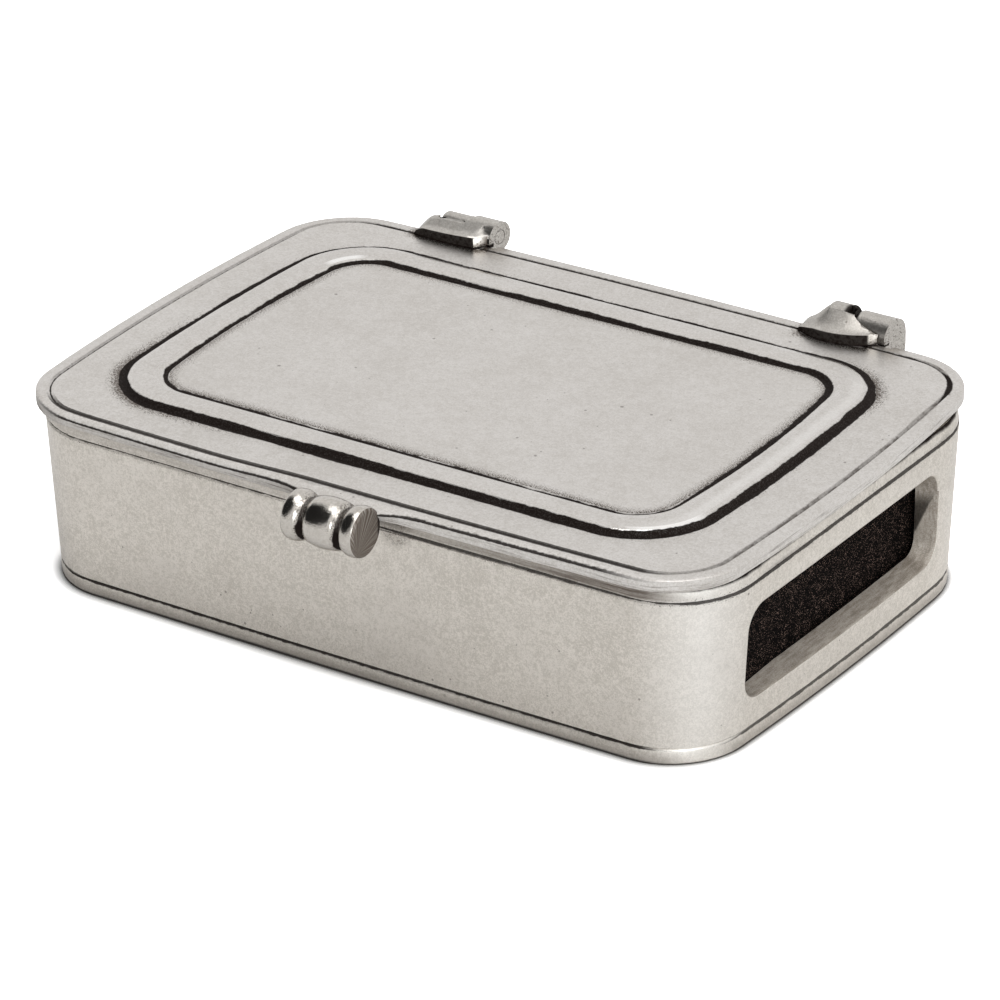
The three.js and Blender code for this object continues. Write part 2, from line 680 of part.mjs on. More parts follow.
// The strap goes down behind the lid's edge, steps in under it, and tapers down the back wall.
function caseHinge(hinge) {
  const { caseKnuckle, caseRadius } = hinge;
  const [x0, x1] = caseKnuckle;
  const inside = CASE_WIDTH / 2 - WALL_THICKNESS;
  const behindLid = LID_BACK + FIT_GAP;
  const lower = RIM_Z - STRAP_LENGTH;
  const stepZ = LID_Z - FIT_GAP;
  const wallY = CASE_WIDTH / 2 + wallGrowth(lower);
  const profile = [
    [inside, lower],
    [wallY + STRAP_FOOT, lower],
    [AXIS_Y + caseRadius, AXIS_Z - caseRadius],
    [AXIS_Y + caseRadius, AXIS_Z],
    [behindLid, AXIS_Z],
    [behindLid, stepZ],
    [inside, stepZ],
  ];
  const wallSide = (z) => atHeight(outline(casePlan(z), -wallGrowth(z) - SOLDER_GAP), z);
  const wall = loft([wallSide(0), wallSide(LINE_Z), wallSide(RIM_Z), wallSide(AXIS_Z)]);
  return geometryOf(
    solidOf(alongX(profile, x0, x1))
      .intersect(solidOf(strapOutline(x0, x1, lower)))
      .add(knuckle(caseKnuckle, caseRadius))
      .subtract(solidOf(wall))
      .subtract(pinBore(hinge))
      .subtract(filedAway(hinge)),
  );
}

// Seen from behind, the strap keeps the knuckle's width and ends in a round foot.
function strapOutline(x0, x1, lower) {
  const radius = (x1 - x0) / 2;
  const middle = (x0 + x1) / 2;
  const shape = new THREE.Shape();
  shape.moveTo(x0, -AXIS_Z);
  shape.lineTo(x0, -lower - radius);
  shape.absarc(middle, -lower - radius, radius, Math.PI, 0, true);
  shape.lineTo(x1, -AXIS_Z);
  const geometry = new THREE.ExtrudeGeometry(shape, {
    depth: CASE_WIDTH,
    bevelEnabled: false,
    curveSegments: 12,
  });
  geometry.rotateX(-Math.PI / 2);
  return geometry;
}

function hingePin(hinge) {
  const pin = solidOf(roundBar(PIN_RADIUS, ...hinge.pin));
  return geometryOf(pin.subtract(filedAway(hinge)));
}

// Thumb-piece

// A turned roller with three swelling lobes, split by two grooves with flat bottoms.
function thumbRoller() {
  const half = THUMB_LENGTH / 2;
  const groove = THUMB_GROOVE_PITCH / 2;
  const lip = THUMB_GROOVE_WIDTH / 2;
  const bottom = THUMB_RADIUS - THUMB_GROOVE_DEPTH;
  const profile = [[0, -half]];
  const addLobe = (from, to, easeFrom, easeTo) => {
    for (let step = 0; step <= LOBE_STEPS; step += 1) {
      const share = step / LOBE_STEPS;
      const hollow = THUMB_SWELL * (2 * share - 1) ** 2;
      const ease = (step === 0 ? easeFrom : 0) + (step === LOBE_STEPS ? easeTo : 0);
      profile.push([THUMB_RADIUS - hollow - ease, from + (to - from) * share]);
    }
  };
  const addGroove = (middle) => {
    profile.push([bottom, middle - lip * THUMB_GROOVE_FLOOR]);
    profile.push([bottom, middle + lip * THUMB_GROOVE_FLOOR]);
  };
  addLobe(-half, -groove - lip, THUMB_EDGE, 0);
  addGroove(-groove);
  addLobe(-groove + lip, groove - lip, 0, 0);
  addGroove(groove);
  addLobe(groove + lip, half, 0, THUMB_EDGE);
  profile.push([0, half]);
  const geometry = turned(profile, THUMB_Y, THUMB_Z);
  geometry.translate(THUMB_CENTRE_X, 0, 0);
  return geometry;
}

// The roller is cut out at the back to sit on the lid's edge.
function thumbPiece() {
  return geometryOf(solidOf(thumbRoller()).subtract(solidOf(loft(lidEdge(SOLDER_GAP)))));
}

// Striker

function strikerSheet(face, thickness) {
  return block(
    face - thickness,
    face,
    WINDOW_CENTRE_Y - STRIP_LENGTH / 2,
    WINDOW_CENTRE_Y + STRIP_LENGTH / 2,
    WINDOW_LOW - STRIKER_OVERLAP,
    WINDOW_LOW + WINDOW_HEIGHT + STRIKER_OVERLAP,
  );
}

// An angle rail over or under the strip: a foot on the wall and a lip behind the backing.
function strikerRail(side) {
  const edge = WINDOW_MIDDLE_Z + (side * STRIP_HEIGHT) / 2;
  const at = (offset) => edge + side * offset;
  const lipX = BACKING_X - BACKING_THICKNESS - FIT_GAP;
  const profile = [
    [STRIP_X, at(FIT_GAP)],
    [STRIP_X, at(FIT_GAP + RAIL_THICKNESS)],
    [lipX - RAIL_THICKNESS, at(FIT_GAP + RAIL_THICKNESS)],
    [lipX - RAIL_THICKNESS, at(-RAIL_LIP)],
    [lipX, at(-RAIL_LIP)],
    [lipX, at(FIT_GAP)],
  ];
  const shape = new THREE.Shape(profile.map(([x, z]) => new THREE.Vector2(x, z)));
  const geometry = new THREE.ExtrudeGeometry(shape, { depth: STRIP_LENGTH, bevelEnabled: false });
  geometry.rotateX(Math.PI / 2);
  geometry.translate(0, WINDOW_CENTRE_Y + STRIP_LENGTH / 2, 0);
  return geometry;
}

// Assembly

function piece(name, geometry, look) {
  const mesh = new THREE.Mesh(geometry, new THREE.MeshStandardMaterial(look));
  mesh.name = name;
  return mesh;
}

const box = new THREE.Group();
box.add(
  piece("case_wall", caseWall(), PEWTER),
  piece("base_plate", basePlate(), PEWTER),
  piece("striker_strip", strikerSheet(STRIP_X, STRIP_THICKNESS), GRIT),
  piece("striker_backing", strikerSheet(BACKING_X, BACKING_THICKNESS), CARD),
  piece("striker_rail_upper", strikerRail(1), PEWTER),
  piece("striker_rail_lower", strikerRail(-1), PEWTER),
  piece("case_hinge_left", caseHinge(LEFT_HINGE), PEWTER),
  piece("case_hinge_right", caseHinge(RIGHT_HINGE), PEWTER),
  piece("hinge_pin_left", hingePin(LEFT_HINGE), STEEL),
  piece("hinge_pin_right", hingePin(RIGHT_HINGE), STEEL),
  piece("lid", lid(), PEWTER),
  piece("lid_hinge_left", lidHinge(LEFT_HINGE), PEWTER),
  piece("lid_hinge_right", lidHinge(RIGHT_HINGE), PEWTER),
  piece("thumb_piece", thumbPiece(), POLISHED),
);

export default box;
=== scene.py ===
"""A pewter match box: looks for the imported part, with a floor, studio light and the photograph's camera."""

import json
import math
from types import SimpleNamespace

import bmesh
import bpy
from mathutils import Matrix, Vector

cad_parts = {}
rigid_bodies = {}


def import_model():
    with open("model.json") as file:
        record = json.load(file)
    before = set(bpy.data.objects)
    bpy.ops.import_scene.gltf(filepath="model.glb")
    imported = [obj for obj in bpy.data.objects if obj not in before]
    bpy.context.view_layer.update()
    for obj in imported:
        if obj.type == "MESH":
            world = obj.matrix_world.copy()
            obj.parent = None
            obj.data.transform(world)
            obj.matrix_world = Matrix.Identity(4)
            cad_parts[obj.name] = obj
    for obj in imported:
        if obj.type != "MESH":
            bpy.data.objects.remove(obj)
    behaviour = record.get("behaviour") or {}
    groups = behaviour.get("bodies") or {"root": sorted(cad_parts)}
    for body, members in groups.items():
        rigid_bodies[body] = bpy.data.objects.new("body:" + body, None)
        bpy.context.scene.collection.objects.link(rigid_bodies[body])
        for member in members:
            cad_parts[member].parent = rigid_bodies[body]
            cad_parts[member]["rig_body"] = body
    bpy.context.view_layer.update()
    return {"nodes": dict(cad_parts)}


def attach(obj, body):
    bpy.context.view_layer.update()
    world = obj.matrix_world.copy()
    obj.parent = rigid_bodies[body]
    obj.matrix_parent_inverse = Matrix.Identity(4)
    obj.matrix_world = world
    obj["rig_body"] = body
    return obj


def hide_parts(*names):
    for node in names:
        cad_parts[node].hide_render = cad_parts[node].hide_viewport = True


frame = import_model()


def plan(half, centre, corner, end_bow=0.0, side_bow=0.0):
    """A rounded, bowed rectangle seen from above, as inputs of the outline distance group."""
    return {
        "Half": (*half, 0),
        "Centre": (*centre, 0),
        "Corner": corner,
        "End bow": end_bow,
        "Side bow": side_bow,
    }


def linear(code):
    """An sRGB hex value as linear red, green, blue and alpha."""
    parts = [int(code[i : i + 2], 16) / 255 for i in (0, 2, 4)]
    return [p / 12.92 if p <= 0.04045 else ((p + 0.055) / 1.055) ** 2.4 for p in parts] + [1]


# Outlines and lines of the part in millimetres, for the patterns that follow them.
LID_PLAN = plan((61.35, 42.45), (0, -0.55), 11.1, 2.3, 1.2)
FRAME_PLAN = plan((51.65, 33.35), (-0.45, -0.65), 12.3, 1.7)
PANEL_PLAN = plan((44.35, 26.05), (-0.45, -0.65), 5.6, 1.7)
WALL_PLAN = plan((58.6, 39.2), (0, 0), 9.5, 1.2, 0.5)  # along the middle of the wall's thickness
LEFT_LEAF_PLAN = plan((6.3, 2.2), (-35.4, 40.6), 0.6)
RIGHT_LEAF_PLAN = plan((5.6, 2.4), (34.0, 40.2), 0.6)
MARGIN_LINE_IN = 2.42  # from the lid's outline to its engraved line
OUTER_GROOVE_IN = 0.82  # from the frame's outline to its outer groove
INNER_GROOVE_OUT = 0.74  # from the panel's outline to the frame's inner groove
BAND_START = 1.85  # from the frame's outline to the outer edge of its band,
BAND_CROWN = 3.1  # to the line on its right bar where a sheen is painted,
BAND_END = 5.75  # and to its inner edge
RIM_LINE_Z = 26.1
RIM_SHADOW_Z = 28.3
SEAM_Z = 2.4
LID_FLANK_Z = 29.1
LID_TOP = 30.45
EDGE_LINE_Z = 30.16
HAND_WORKED = (4, 23, 45, 57)  # to the left of the middle: where it begins, is full, eases off and ends
HAND_SAG = 0.45  # how much lower the arris lies there
HAND_STRAY = 0.75  # how much nearer to the edge the margin line runs there
TONGUE = (6.3, 12.8)  # from the thumb-piece's middle: where the tongue is full, and where it ends
TONGUE_DROP = 0.4
THUMB_AXIS = (2, -46.7, 28.15)
THUMB_GROOVE = 3.1  # from the thumb-piece's middle to either groove
THUMB_SCRATCHES = 2.4  # the scratches on its end meet this far in front of its axis and below it
LEAVES_ON_LID = 41.5  # the leaves lie on the lid up to here, and farther back they are clear of it

# Marks in the photograph: the middle in millimetres, how far they reach from it, and how far they are full.
SMEARED_CORNER = ((55, 32, 30), 9.0, 2.0)
FRONT_LEFT_SPECKLES = ((-46, -27, 31), 26.0, 5.0)
BACK_RIGHT_SPECKLES = ((49, 28, 31), 14.0, 3.0)
# The next two marks are painted highlights: glints on two corners of the band.
FRONT_PAINTED_GLINT = ((45.5, -27, 30.6), 7.0, 3.5)
BACK_PAINTED_GLINT = ((-45.7, 24.4, 30.6), 4.6, 2.3)
THUMB_SMUDGE = ((9.2, -41, 27), 4.0, 2.0)

# Boxes in millimetres, from their least to their greatest corner, that pick out faces of the part.
FAR = 100
REVEAL_BOX = ((56, -29, 6), (60.4, 24.5, 23))
NOTCH_BOX = ((34.7, 41.5, 32.2), (36.6, 43.4, FAR))
SLOT_BOX = ((33.8, 43, 31), (36.5, FAR, FAR))
LEAF_BACK = 40.5  # faces of a hinge in front of this belong to its leaf, and those behind it to its knuckle
THUMB_END = 7.5  # faces of the thumb-piece beyond this belong to its end, and the others to its grooves
FACING = 0.8  # how far a face's normal points one way, if the face looks that way

PEWTER_LIGHT = linear("DDD9D5")
PEWTER_DARK = linear("C8C3BD")
WALL_LIGHT = linear("E2DCD4")
WALL_DARK = linear("C9C3BA")
HINGE_LIGHT = linear("CCC8C2")
HINGE_DARK = linear("B2ADA6")
FILED_LIGHT = linear("BFB8AF")
FILED_DARK = linear("958D83")
TURNED_LIGHT = linear("D0CBC4")
TURNED_DARK = linear("BEB8B0")
# The patina black and brown also carry painted shade, and the near-white below is a painted highlight.
PATINA_AND_SHADE_BLACK = linear("1B1411")
PATINA_AND_SHADE_BROWN = linear("5C524A")
PAINTED_HIGHLIGHT = linear("FBF9F6")
GRIT_BLACK = linear("040303")
# The grit's glint colour is a painted highlight.
GRIT_PAINTED_GLINT = linear("9A8276")
BOARD_DARK = linear("6E6458")
BOARD_LIGHT = linear("8A8073")
PAPER = linear("F0F0F0")
CONTACT_SHADE = linear("42403E")
WHITE = linear("FFFFFF")

# Patterns in the metal: how many there are to a millimetre, their detail and roughness, and whether a file
# draws them out. Clouds are 14 mm across, blots 2.2, grain 0.6 and fine grain 0.3. Dust is drawn at 0.17 mm,
# coarser than real dust, which doesn't show.
NOISES = {
    "clouds": (0.07, 4.0, 0.6, False),
    "blots": (0.45, 3.0, 0.6, False),
    "grain": (1.7, 3.0, 0.6, True),
    "fine": (3.6, 2.0, 0.6, True),
    "dust": (6.0, 1.0, 0.5, False),
}
MEAN_TONE = 2.0  # of the clouds and blots by half, and the three others in full
GRAIN_RELIEF = {"Strength": 0.12, "Distance": 0.0002}
PIT_CELLS = 0.55  # to a millimetre
PIT_CHANCE = 0.62  # only a cell with a shade above this, between 0 and 1, holds a pit
PIT_RADIUS = 0.16  # of a cell, so 0.3 mm for the largest
PIT_STRENGTH = 0.55
DULLEST = 0.42  # the roughness that is added where the metal shines least
FILE_STRETCH = (0.09, 0.09, 2.4)  # strokes run along the edge, 8 mm long and 0.3 mm wide
FILE_NOISE = {"Scale": 1.3, "Detail": 3.0, "Roughness": 0.7}
FRINGE_DENSITY = 0.42  # how much more easily a speckle forms at a line's edge
FRINGE_START = -0.2  # millimetres
SPECKLE_LIMITS = {1: 0.68, 2: 0.79}  # of dust and density together
GRAINS = 11.0  # of the striking grit, to a millimetre
GRIT_RELIEF = {"Strength": 0.5, "Distance": 0.0002}


def node(tree, kind, inputs=(), **settings):
    """Adds a node with its settings. Each input is a value, a socket, or a node whose first output is linked.
    A Map Range takes its input 0 from inputs 1 and 2 to inputs 3 and 4, which are 0 and 1 where left out."""
    made = tree.nodes.new(kind)
    for name, value in settings.items():
        setattr(made, name, value)
    for key, value in dict(inputs).items():
        if isinstance(value, bpy.types.Node):
            value = value.outputs[0]
        if isinstance(value, bpy.types.NodeSocket):
            tree.links.new(value, made.inputs[key])
        else:
            made.inputs[key].default_value = value
    return made


def folded(tree, masks, operation="MAXIMUM"):
    """Several masks or numbers in one: the greatest of them, or their sum, their product or the least."""
    result = masks[0]
    for mask in masks[1:]:
        result = node(tree, "ShaderNodeMath", {0: result, 1: mask}, operation=operation)
    return result


# Patterns


def new_group(name, vectors, numbers, result):
    """A node group with the named inputs and one number as its output, and the sockets of its inputs."""
    tree = bpy.data.node_groups.new(name, "ShaderNodeTree")
    for label in vectors:
        tree.interface.new_socket(label, in_out="INPUT", socket_type="NodeSocketVector")
    for label in numbers:
        tree.interface.new_socket(label, in_out="INPUT", socket_type="NodeSocketFloat")
    tree.interface.new_socket(result, in_out="OUTPUT", socket_type="NodeSocketFloat")
    return tree, node(tree, "NodeGroupInput").outputs


def outline_distance_group():
    """Distance in millimetres from a rounded, bowed rectangle: negative inside it."""
    vectors, numbers = ("Point", "Half", "Centre"), ("Corner", "End bow", "Side bow")
    tree, given = new_group("outline distance", vectors, numbers, "Distance")
    local = node(tree, "ShaderNodeVectorMath", {0: given["Point"], 1: given["Centre"]}, operation="SUBTRACT")
    share = node(tree, "ShaderNodeVectorMath", {0: local, 1: given["Half"]}, operation="DIVIDE")
    x, y, _ = node(tree, "ShaderNodeSeparateXYZ", {0: share}).outputs
    end_bow = folded(tree, [y, y, x, given["End bow"]], "MULTIPLY")
    side_bow = folded(tree, [x, x, y, given["Side bow"]], "MULTIPLY")
    swell = node(tree, "ShaderNodeCombineXYZ", {0: end_bow, 1: side_bow})
    straight = node(tree, "ShaderNodeVectorMath", {0: local, 1: swell}, operation="ADD")
    flat = node(tree, "ShaderNodeVectorMath", {0: straight, 1: (1, 1, 0)}, operation="MULTIPLY")
    quarter = node(tree, "ShaderNodeVectorMath", {0: flat}, operation="ABSOLUTE")
    radius = node(tree, "ShaderNodeCombineXYZ", {0: given["Corner"], 1: given["Corner"]})
    core = node(tree, "ShaderNodeVectorMath", {0: given["Half"], 1: radius}, operation="SUBTRACT")
    past = node(tree, "ShaderNodeVectorMath", {0: quarter, 1: core}, operation="SUBTRACT")
    outer = node(tree, "ShaderNodeVectorMath", {0: past, 1: (0, 0, 0)}, operation="MAXIMUM")
    level = node(tree, "ShaderNodeVectorMath", {0: outer, 1: (1, 1, 0)}, operation="MULTIPLY")
    length = node(tree, "ShaderNodeVectorMath", {0: level}, operation="LENGTH").outputs["Value"]
    past_x, past_y, _ = node(tree, "ShaderNodeSeparateXYZ", {0: past}).outputs
    nearer = folded(tree, [past_x, past_y])
    inner = folded(tree, [nearer, 0.0], "MINIMUM")
    total = folded(tree, [length, inner], "ADD")
    distance = node(tree, "ShaderNodeMath", {0: total, 1: given["Corner"]}, operation="SUBTRACT")
    node(tree, "NodeGroupOutput", {0: distance})
    return tree


def band_group():
    """1 on a line of a given half width, falling to 0 over a softness; its edge is broken up by a wobble."""
    tree, given = new_group("broken band", (), ("Distance", "Half width", "Softness", "Wobble"), "Mask")
    away = node(tree, "ShaderNodeMath", {0: given["Distance"]}, operation="ABSOLUTE")
    moved = folded(tree, [away, given["Wobble"]], "ADD")
    over = node(tree, "ShaderNodeMath", {0: moved, 1: given["Half width"]}, operation="SUBTRACT")
    share = node(tree, "ShaderNodeMath", {0: over, 1: given["Softness"]}, operation="DIVIDE")
    mask = node(tree, "ShaderNodeMapRange", {0: share, 3: 1.0, 4: 0.0}, interpolation_type="SMOOTHSTEP")
    node(tree, "NodeGroupOutput", {0: mask})
    return tree


def fringe_group():
    """Speckles that are dense at a line's edge and thin out over a reach from it."""
    tree, given = new_group("speckled fringe", (), ("Distance", "Reach", "Amount", "Speckle"), "Mask")
    distance = given["Distance"]
    falling = {0: distance, 1: 0.0, 2: given["Reach"], 3: FRINGE_DENSITY, 4: 0.0}
    near = node(tree, "ShaderNodeMapRange", falling)
    dense = folded(tree, [near, given["Amount"]], "MULTIPLY")
    level = folded(tree, [dense, given["Speckle"]], "ADD")
    speckles = node(
        tree,
        "ShaderNodeMapRange",
        {0: level, **SPECKLE_LIMITS},
        interpolation_type="SMOOTHSTEP",
    )
    before = node(tree, "ShaderNodeMath", {0: distance, 1: FRINGE_START}, operation="GREATER_THAN")
    within = node(tree, "ShaderNodeMapRange", {0: dense, 1: 0.0, 2: 0.06})
    beside = folded(tree, [before, within], "MULTIPLY")
    node(tree, "NodeGroupOutput", {0: folded(tree, [speckles, beside], "MULTIPLY")})
    return tree


OUTLINE_DISTANCE = outline_distance_group()
BROKEN_BAND = band_group()
SPECKLED_FRINGE = fringe_group()


def plan_distance(tree, point, outline):
    return node(tree, "ShaderNodeGroup", {"Point": point, **outline}, node_tree=OUTLINE_DISTANCE)


def band(tree, distance, half, softness, wobble):
    inputs = {"Distance": distance, "Half width": half, "Softness": softness, "Wobble": wobble}
    return node(tree, "ShaderNodeGroup", inputs, node_tree=BROKEN_BAND)


def fringe(tree, distance, reach, amount, speckle):
    inputs = {"Distance": distance, "Reach": reach, "Amount": amount, "Speckle": speckle}
    return node(tree, "ShaderNodeGroup", inputs, node_tree=SPECKLED_FRINGE)


def point_in_millimetres(tree):
    place = node(tree, "ShaderNodeTexCoord").outputs["Object"]
    return node(tree, "ShaderNodeVectorMath", {0: place, "Scale": 1000.0}, operation="SCALE")


def swing(tree, noise, most, spread=0.15):
    """A noise pattern as a distance of up to so many millimetres to either side, to break up an edge."""
    return node(tree, "ShaderNodeMapRange", {0: noise, 1: 0.5 - spread, 2: 0.5 + spread, 3: -most, 4: most})


def spot(tree, point, mark, low=0.0, high=1.0, fade="LINEAR"):
    """The high value where a mark is full, falling to the low one as far as it reaches."""
    place, reach, full = mark
    away = node(tree, "ShaderNodeVectorMath", {0: point, 1: place}, operation="DISTANCE").outputs["Value"]
    inputs = {0: away, 1: reach, 2: full, 3: low, 4: high}
    return node(tree, "ShaderNodeMapRange", inputs, interpolation_type=fade)


def file_strokes(tree, point):
    """A pattern of strokes that a file has left along the edges of the lid and the wall."""
    drawn = node(tree, "ShaderNodeVectorMath", {0: point, 1: FILE_STRETCH}, operation="MULTIPLY")
    return node(tree, "ShaderNodeTexNoise", {"Vector": drawn, **FILE_NOISE})


# Materials


def new_material(name):
    material = bpy.data.materials.new(name)
    material.use_nodes = True
    tree = material.node_tree
    tree.nodes.clear()
    return material, tree


def cast_pewter(
    name,
    patina_and_light,
    light=PEWTER_LIGHT,
    dark=PEWTER_DARK,
    roughness=0.36,
    haze=0.0,
    stretch=(1, 1, 1),
    spread=0.3,
):
    """Cast pewter, brushed to satin. To the eye: a warm light grey, faintly clouded, with a fine grain,
    sparse casting pits, and dark brown patina left in every line and corner that the cloth doesn't reach.
    In some places painted shade is mixed into the black and the brown, and painted highlights brighten some
    edges and corners. A patina function returns where the black and the brown lie, the roughness that is
    added, and where a highlight is painted."""
    material, tree = new_material(name)
    point = point_in_millimetres(tree)
    stretched = node(tree, "ShaderNodeVectorMath", {0: point, 1: stretch}, operation="MULTIPLY")
    noises = {}
    for label, (scale, detail, rough, drawn_out) in NOISES.items():
        place = stretched if drawn_out else point
        inputs = {"Vector": place, "Scale": scale, "Detail": detail, "Roughness": rough}
        noises[label] = node(tree, "ShaderNodeTexNoise", inputs)
    black, brown_marks, duller, painted_highlight = patina_and_light(tree, point, noises)

    both = folded(tree, [noises["clouds"], noises["blots"]], "ADD")
    slow = folded(tree, [both, 0.5], "MULTIPLY")
    tone = folded(tree, [slow, noises["grain"], noises["fine"], noises["dust"]], "ADD")
    toned = node(tree, "ShaderNodeMapRange", {0: tone, 1: MEAN_TONE - spread, 2: MEAN_TONE + spread})
    cells = node(tree, "ShaderNodeTexVoronoi", {"Vector": point, "Scale": PIT_CELLS}).outputs
    by_shade = {0: cells["Color"], 1: PIT_CHANCE, 2: 1.0, 3: 0.0, 4: PIT_RADIUS}
    radius = node(tree, "ShaderNodeMapRange", by_shade)
    pit = node(tree, "ShaderNodeMath", {0: cells["Distance"], 1: radius}, operation="LESS_THAN")
    pits = folded(tree, [pit, PIT_STRENGTH], "MULTIPLY")
    hazy = node(tree, "ShaderNodeMapRange", {0: noises["clouds"], 1: 0.46, 2: 0.66, 3: 0.0, 4: haze})
    speckle = node(tree, "ShaderNodeMapRange", {0: noises["fine"], 1: 0.3, 2: 0.76})
    hazed = folded(tree, [hazy, speckle], "MULTIPLY")
    brown = folded(tree, [brown_marks, pits, hazed])
    colour = node(tree, "ShaderNodeMix", {0: toned, 6: dark, 7: light}, data_type="RGBA")
    # First the painted highlights, then the brown and the black, which are patina and in places painted
    # shade.
    for share, paint in ((painted_highlight, PAINTED_HIGHLIGHT), (brown, PATINA_AND_SHADE_BROWN), (black, PATINA_AND_SHADE_BLACK)):
        colour = node(tree, "ShaderNodeMix", {0: share, 6: colour.outputs[2], 7: paint}, data_type="RGBA")

    uneven = {0: noises["clouds"], 1: 0.3, 2: 0.7, 3: roughness + 0.05, 4: roughness - 0.04}
    satin = node(tree, "ShaderNodeMapRange", uneven)
    worked = folded(tree, [satin, duller], "ADD")
    rough = node(tree, "ShaderNodeMix", {0: black, 2: worked, 3: 0.7}, data_type="FLOAT")
    shine = node(tree, "ShaderNodeMapRange", {0: duller, 1: 0.0, 2: DULLEST, 3: 1.0, 4: 0.3})
    metallic = node(tree, "ShaderNodeMix", {0: black, 2: shine, 3: 0.0}, data_type="FLOAT")
    height = folded(tree, [noises["fine"], noises["grain"]], "ADD")
    bump = node(tree, "ShaderNodeBump", {**GRAIN_RELIEF, "Height": height})
    shader = node(
        tree,
        "ShaderNodeBsdfPrincipled",
        {
            "Base Color": colour.outputs[2],
            "Roughness": rough,
            "Metallic": metallic,
            "Specular IOR Level": 0.06,
            "Normal": bump,
        },
    )
    node(tree, "ShaderNodeOutputMaterial", {0: shader})
    return material


# Patina of the lid, and the light and shade painted on it


def hand_worked(tree, along):
    """1 where the lid's front edge is worked by hand, as in the CAD part."""
    begin, full, ease, end = HAND_WORKED
    rise = node(tree, "ShaderNodeMapRange", {0: along, 1: -begin, 2: -full}, interpolation_type="SMOOTHSTEP")
    fall = node(tree, "ShaderNodeMapRange", {0: along, 1: -end, 2: -ease}, interpolation_type="SMOOTHSTEP")
    return folded(tree, [rise, fall], "MULTIPLY")


def arris_height(tree, along, hand):
    """The height of the line under the front arris, which sags where it is worked and falls to the tongue."""
    sag = folded(tree, [hand, HAND_SAG], "MULTIPLY")
    from_thumb = node(tree, "ShaderNodeMath", {0: along, 1: THUMB_AXIS[0]}, operation="SUBTRACT")
    beside = node(tree, "ShaderNodeMath", {0: from_thumb}, operation="ABSOLUTE")
    tongue = node(tree, "ShaderNodeMapRange", {0: beside, 1: TONGUE[0], 2: TONGUE[1], 3: 1.0, 4: 0.0})
    drop = folded(tree, [tongue, tongue, TONGUE_DROP], "MULTIPLY")
    lowered = folded(tree, [sag, drop], "ADD")
    return node(tree, "ShaderNodeMath", {0: EDGE_LINE_Z, 1: lowered}, operation="SUBTRACT")


def lid_places(tree, point, noises):
    """Distances in millimetres from the lid's lines, and shares from 0 to 1 that mark its regions."""
    lid = SimpleNamespace()
    lid.x, lid.y, lid.z = node(tree, "ShaderNodeSeparateXYZ", {0: point}).outputs
    lid.quick = swing(tree, noises["grain"], 0.04, 0.2)
    slow = swing(tree, noises["clouds"], 0.2, 0.2)
    lid.wobble = folded(tree, [slow, swing(tree, noises["blots"], 0.09, 0.2), lid.quick], "ADD")
    lid.from_edge = plan_distance(tree, point, LID_PLAN)
    lid.from_line = folded(tree, [lid.from_edge, MARGIN_LINE_IN], "ADD")
    lid.from_frame = plan_distance(tree, point, FRAME_PLAN)
    lid.from_band_start = folded(tree, [lid.from_frame, BAND_START], "ADD")
    lid.from_band_end = folded(tree, [lid.from_frame, BAND_END], "ADD")
    lid.from_panel = plan_distance(tree, point, PANEL_PLAN)
    lid.hand = hand_worked(tree, lid.x)
    arris = arris_height(tree, lid.x, lid.hand)
    lid.from_arris = node(tree, "ShaderNodeMath", {0: lid.z, 1: arris}, operation="SUBTRACT")
    lid.at_front = node(tree, "ShaderNodeMapRange", {0: lid.y, 1: -37.0, 2: -39.5})
    lid.before_corner = node(tree, "ShaderNodeMapRange", {0: lid.x, 1: 53.0, 2: 44.0})
    lid.upper = node(tree, "ShaderNodeMapRange", {0: lid.z, 1: LID_FLANK_Z, 2: LID_FLANK_Z + 0.2})
    return lid


def margin_line(tree, point, lid):
    """The engraved line: black by its depth, even along the front, and smeared in the far right corner."""
    within = node(tree, "ShaderNodeMapRange", {0: lid.from_edge, 1: -1.6, 2: -1.8})
    near_edge = node(tree, "ShaderNodeMapRange", {0: lid.from_edge, 1: -4.6, 2: -4.2})
    sides = node(tree, "ShaderNodeMath", {0: lid.x}, operation="ABSOLUTE")
    worn = node(tree, "ShaderNodeMapRange", {0: sides, 1: 47.0, 2: 56.0, 3: 0.06, 4: 0.26})
    threshold = folded(tree, [worn, lid.quick], "ADD")
    below = node(tree, "ShaderNodeMath", {0: LID_TOP, 1: lid.z}, operation="SUBTRACT")
    depth = node(tree, "ShaderNodeMath", {0: below, 1: threshold}, operation="SUBTRACT")
    deep = node(tree, "ShaderNodeMapRange", {0: depth, 1: -0.02, 2: 0.05}, interpolation_type="SMOOTHSTEP")
    fainter_end = node(tree, "ShaderNodeMapRange", {0: lid.x, 1: 49.0, 2: 55.0, 3: 0.95, 4: 0.35})
    engraved = folded(tree, [deep, within, near_edge, fainter_end], "MULTIPLY")

    stray = folded(tree, [lid.hand, lid.at_front, HAND_STRAY], "MULTIPLY")
    strayed = node(tree, "ShaderNodeMath", {0: lid.from_line, 1: stray}, operation="SUBTRACT")
    before_end = node(tree, "ShaderNodeMapRange", {0: lid.x, 1: 56.0, 2: 49.0})
    even = band(tree, strayed, 0.5, 0.12, lid.quick)
    front_line = folded(tree, [even, lid.at_front, before_end, 0.86], "MULTIPLY")
    smear = spot(tree, point, SMEARED_CORNER, low=-0.5, high=0.42)
    return folded(tree, [engraved, front_line, band(tree, lid.from_line, smear, 0.25, lid.quick)])


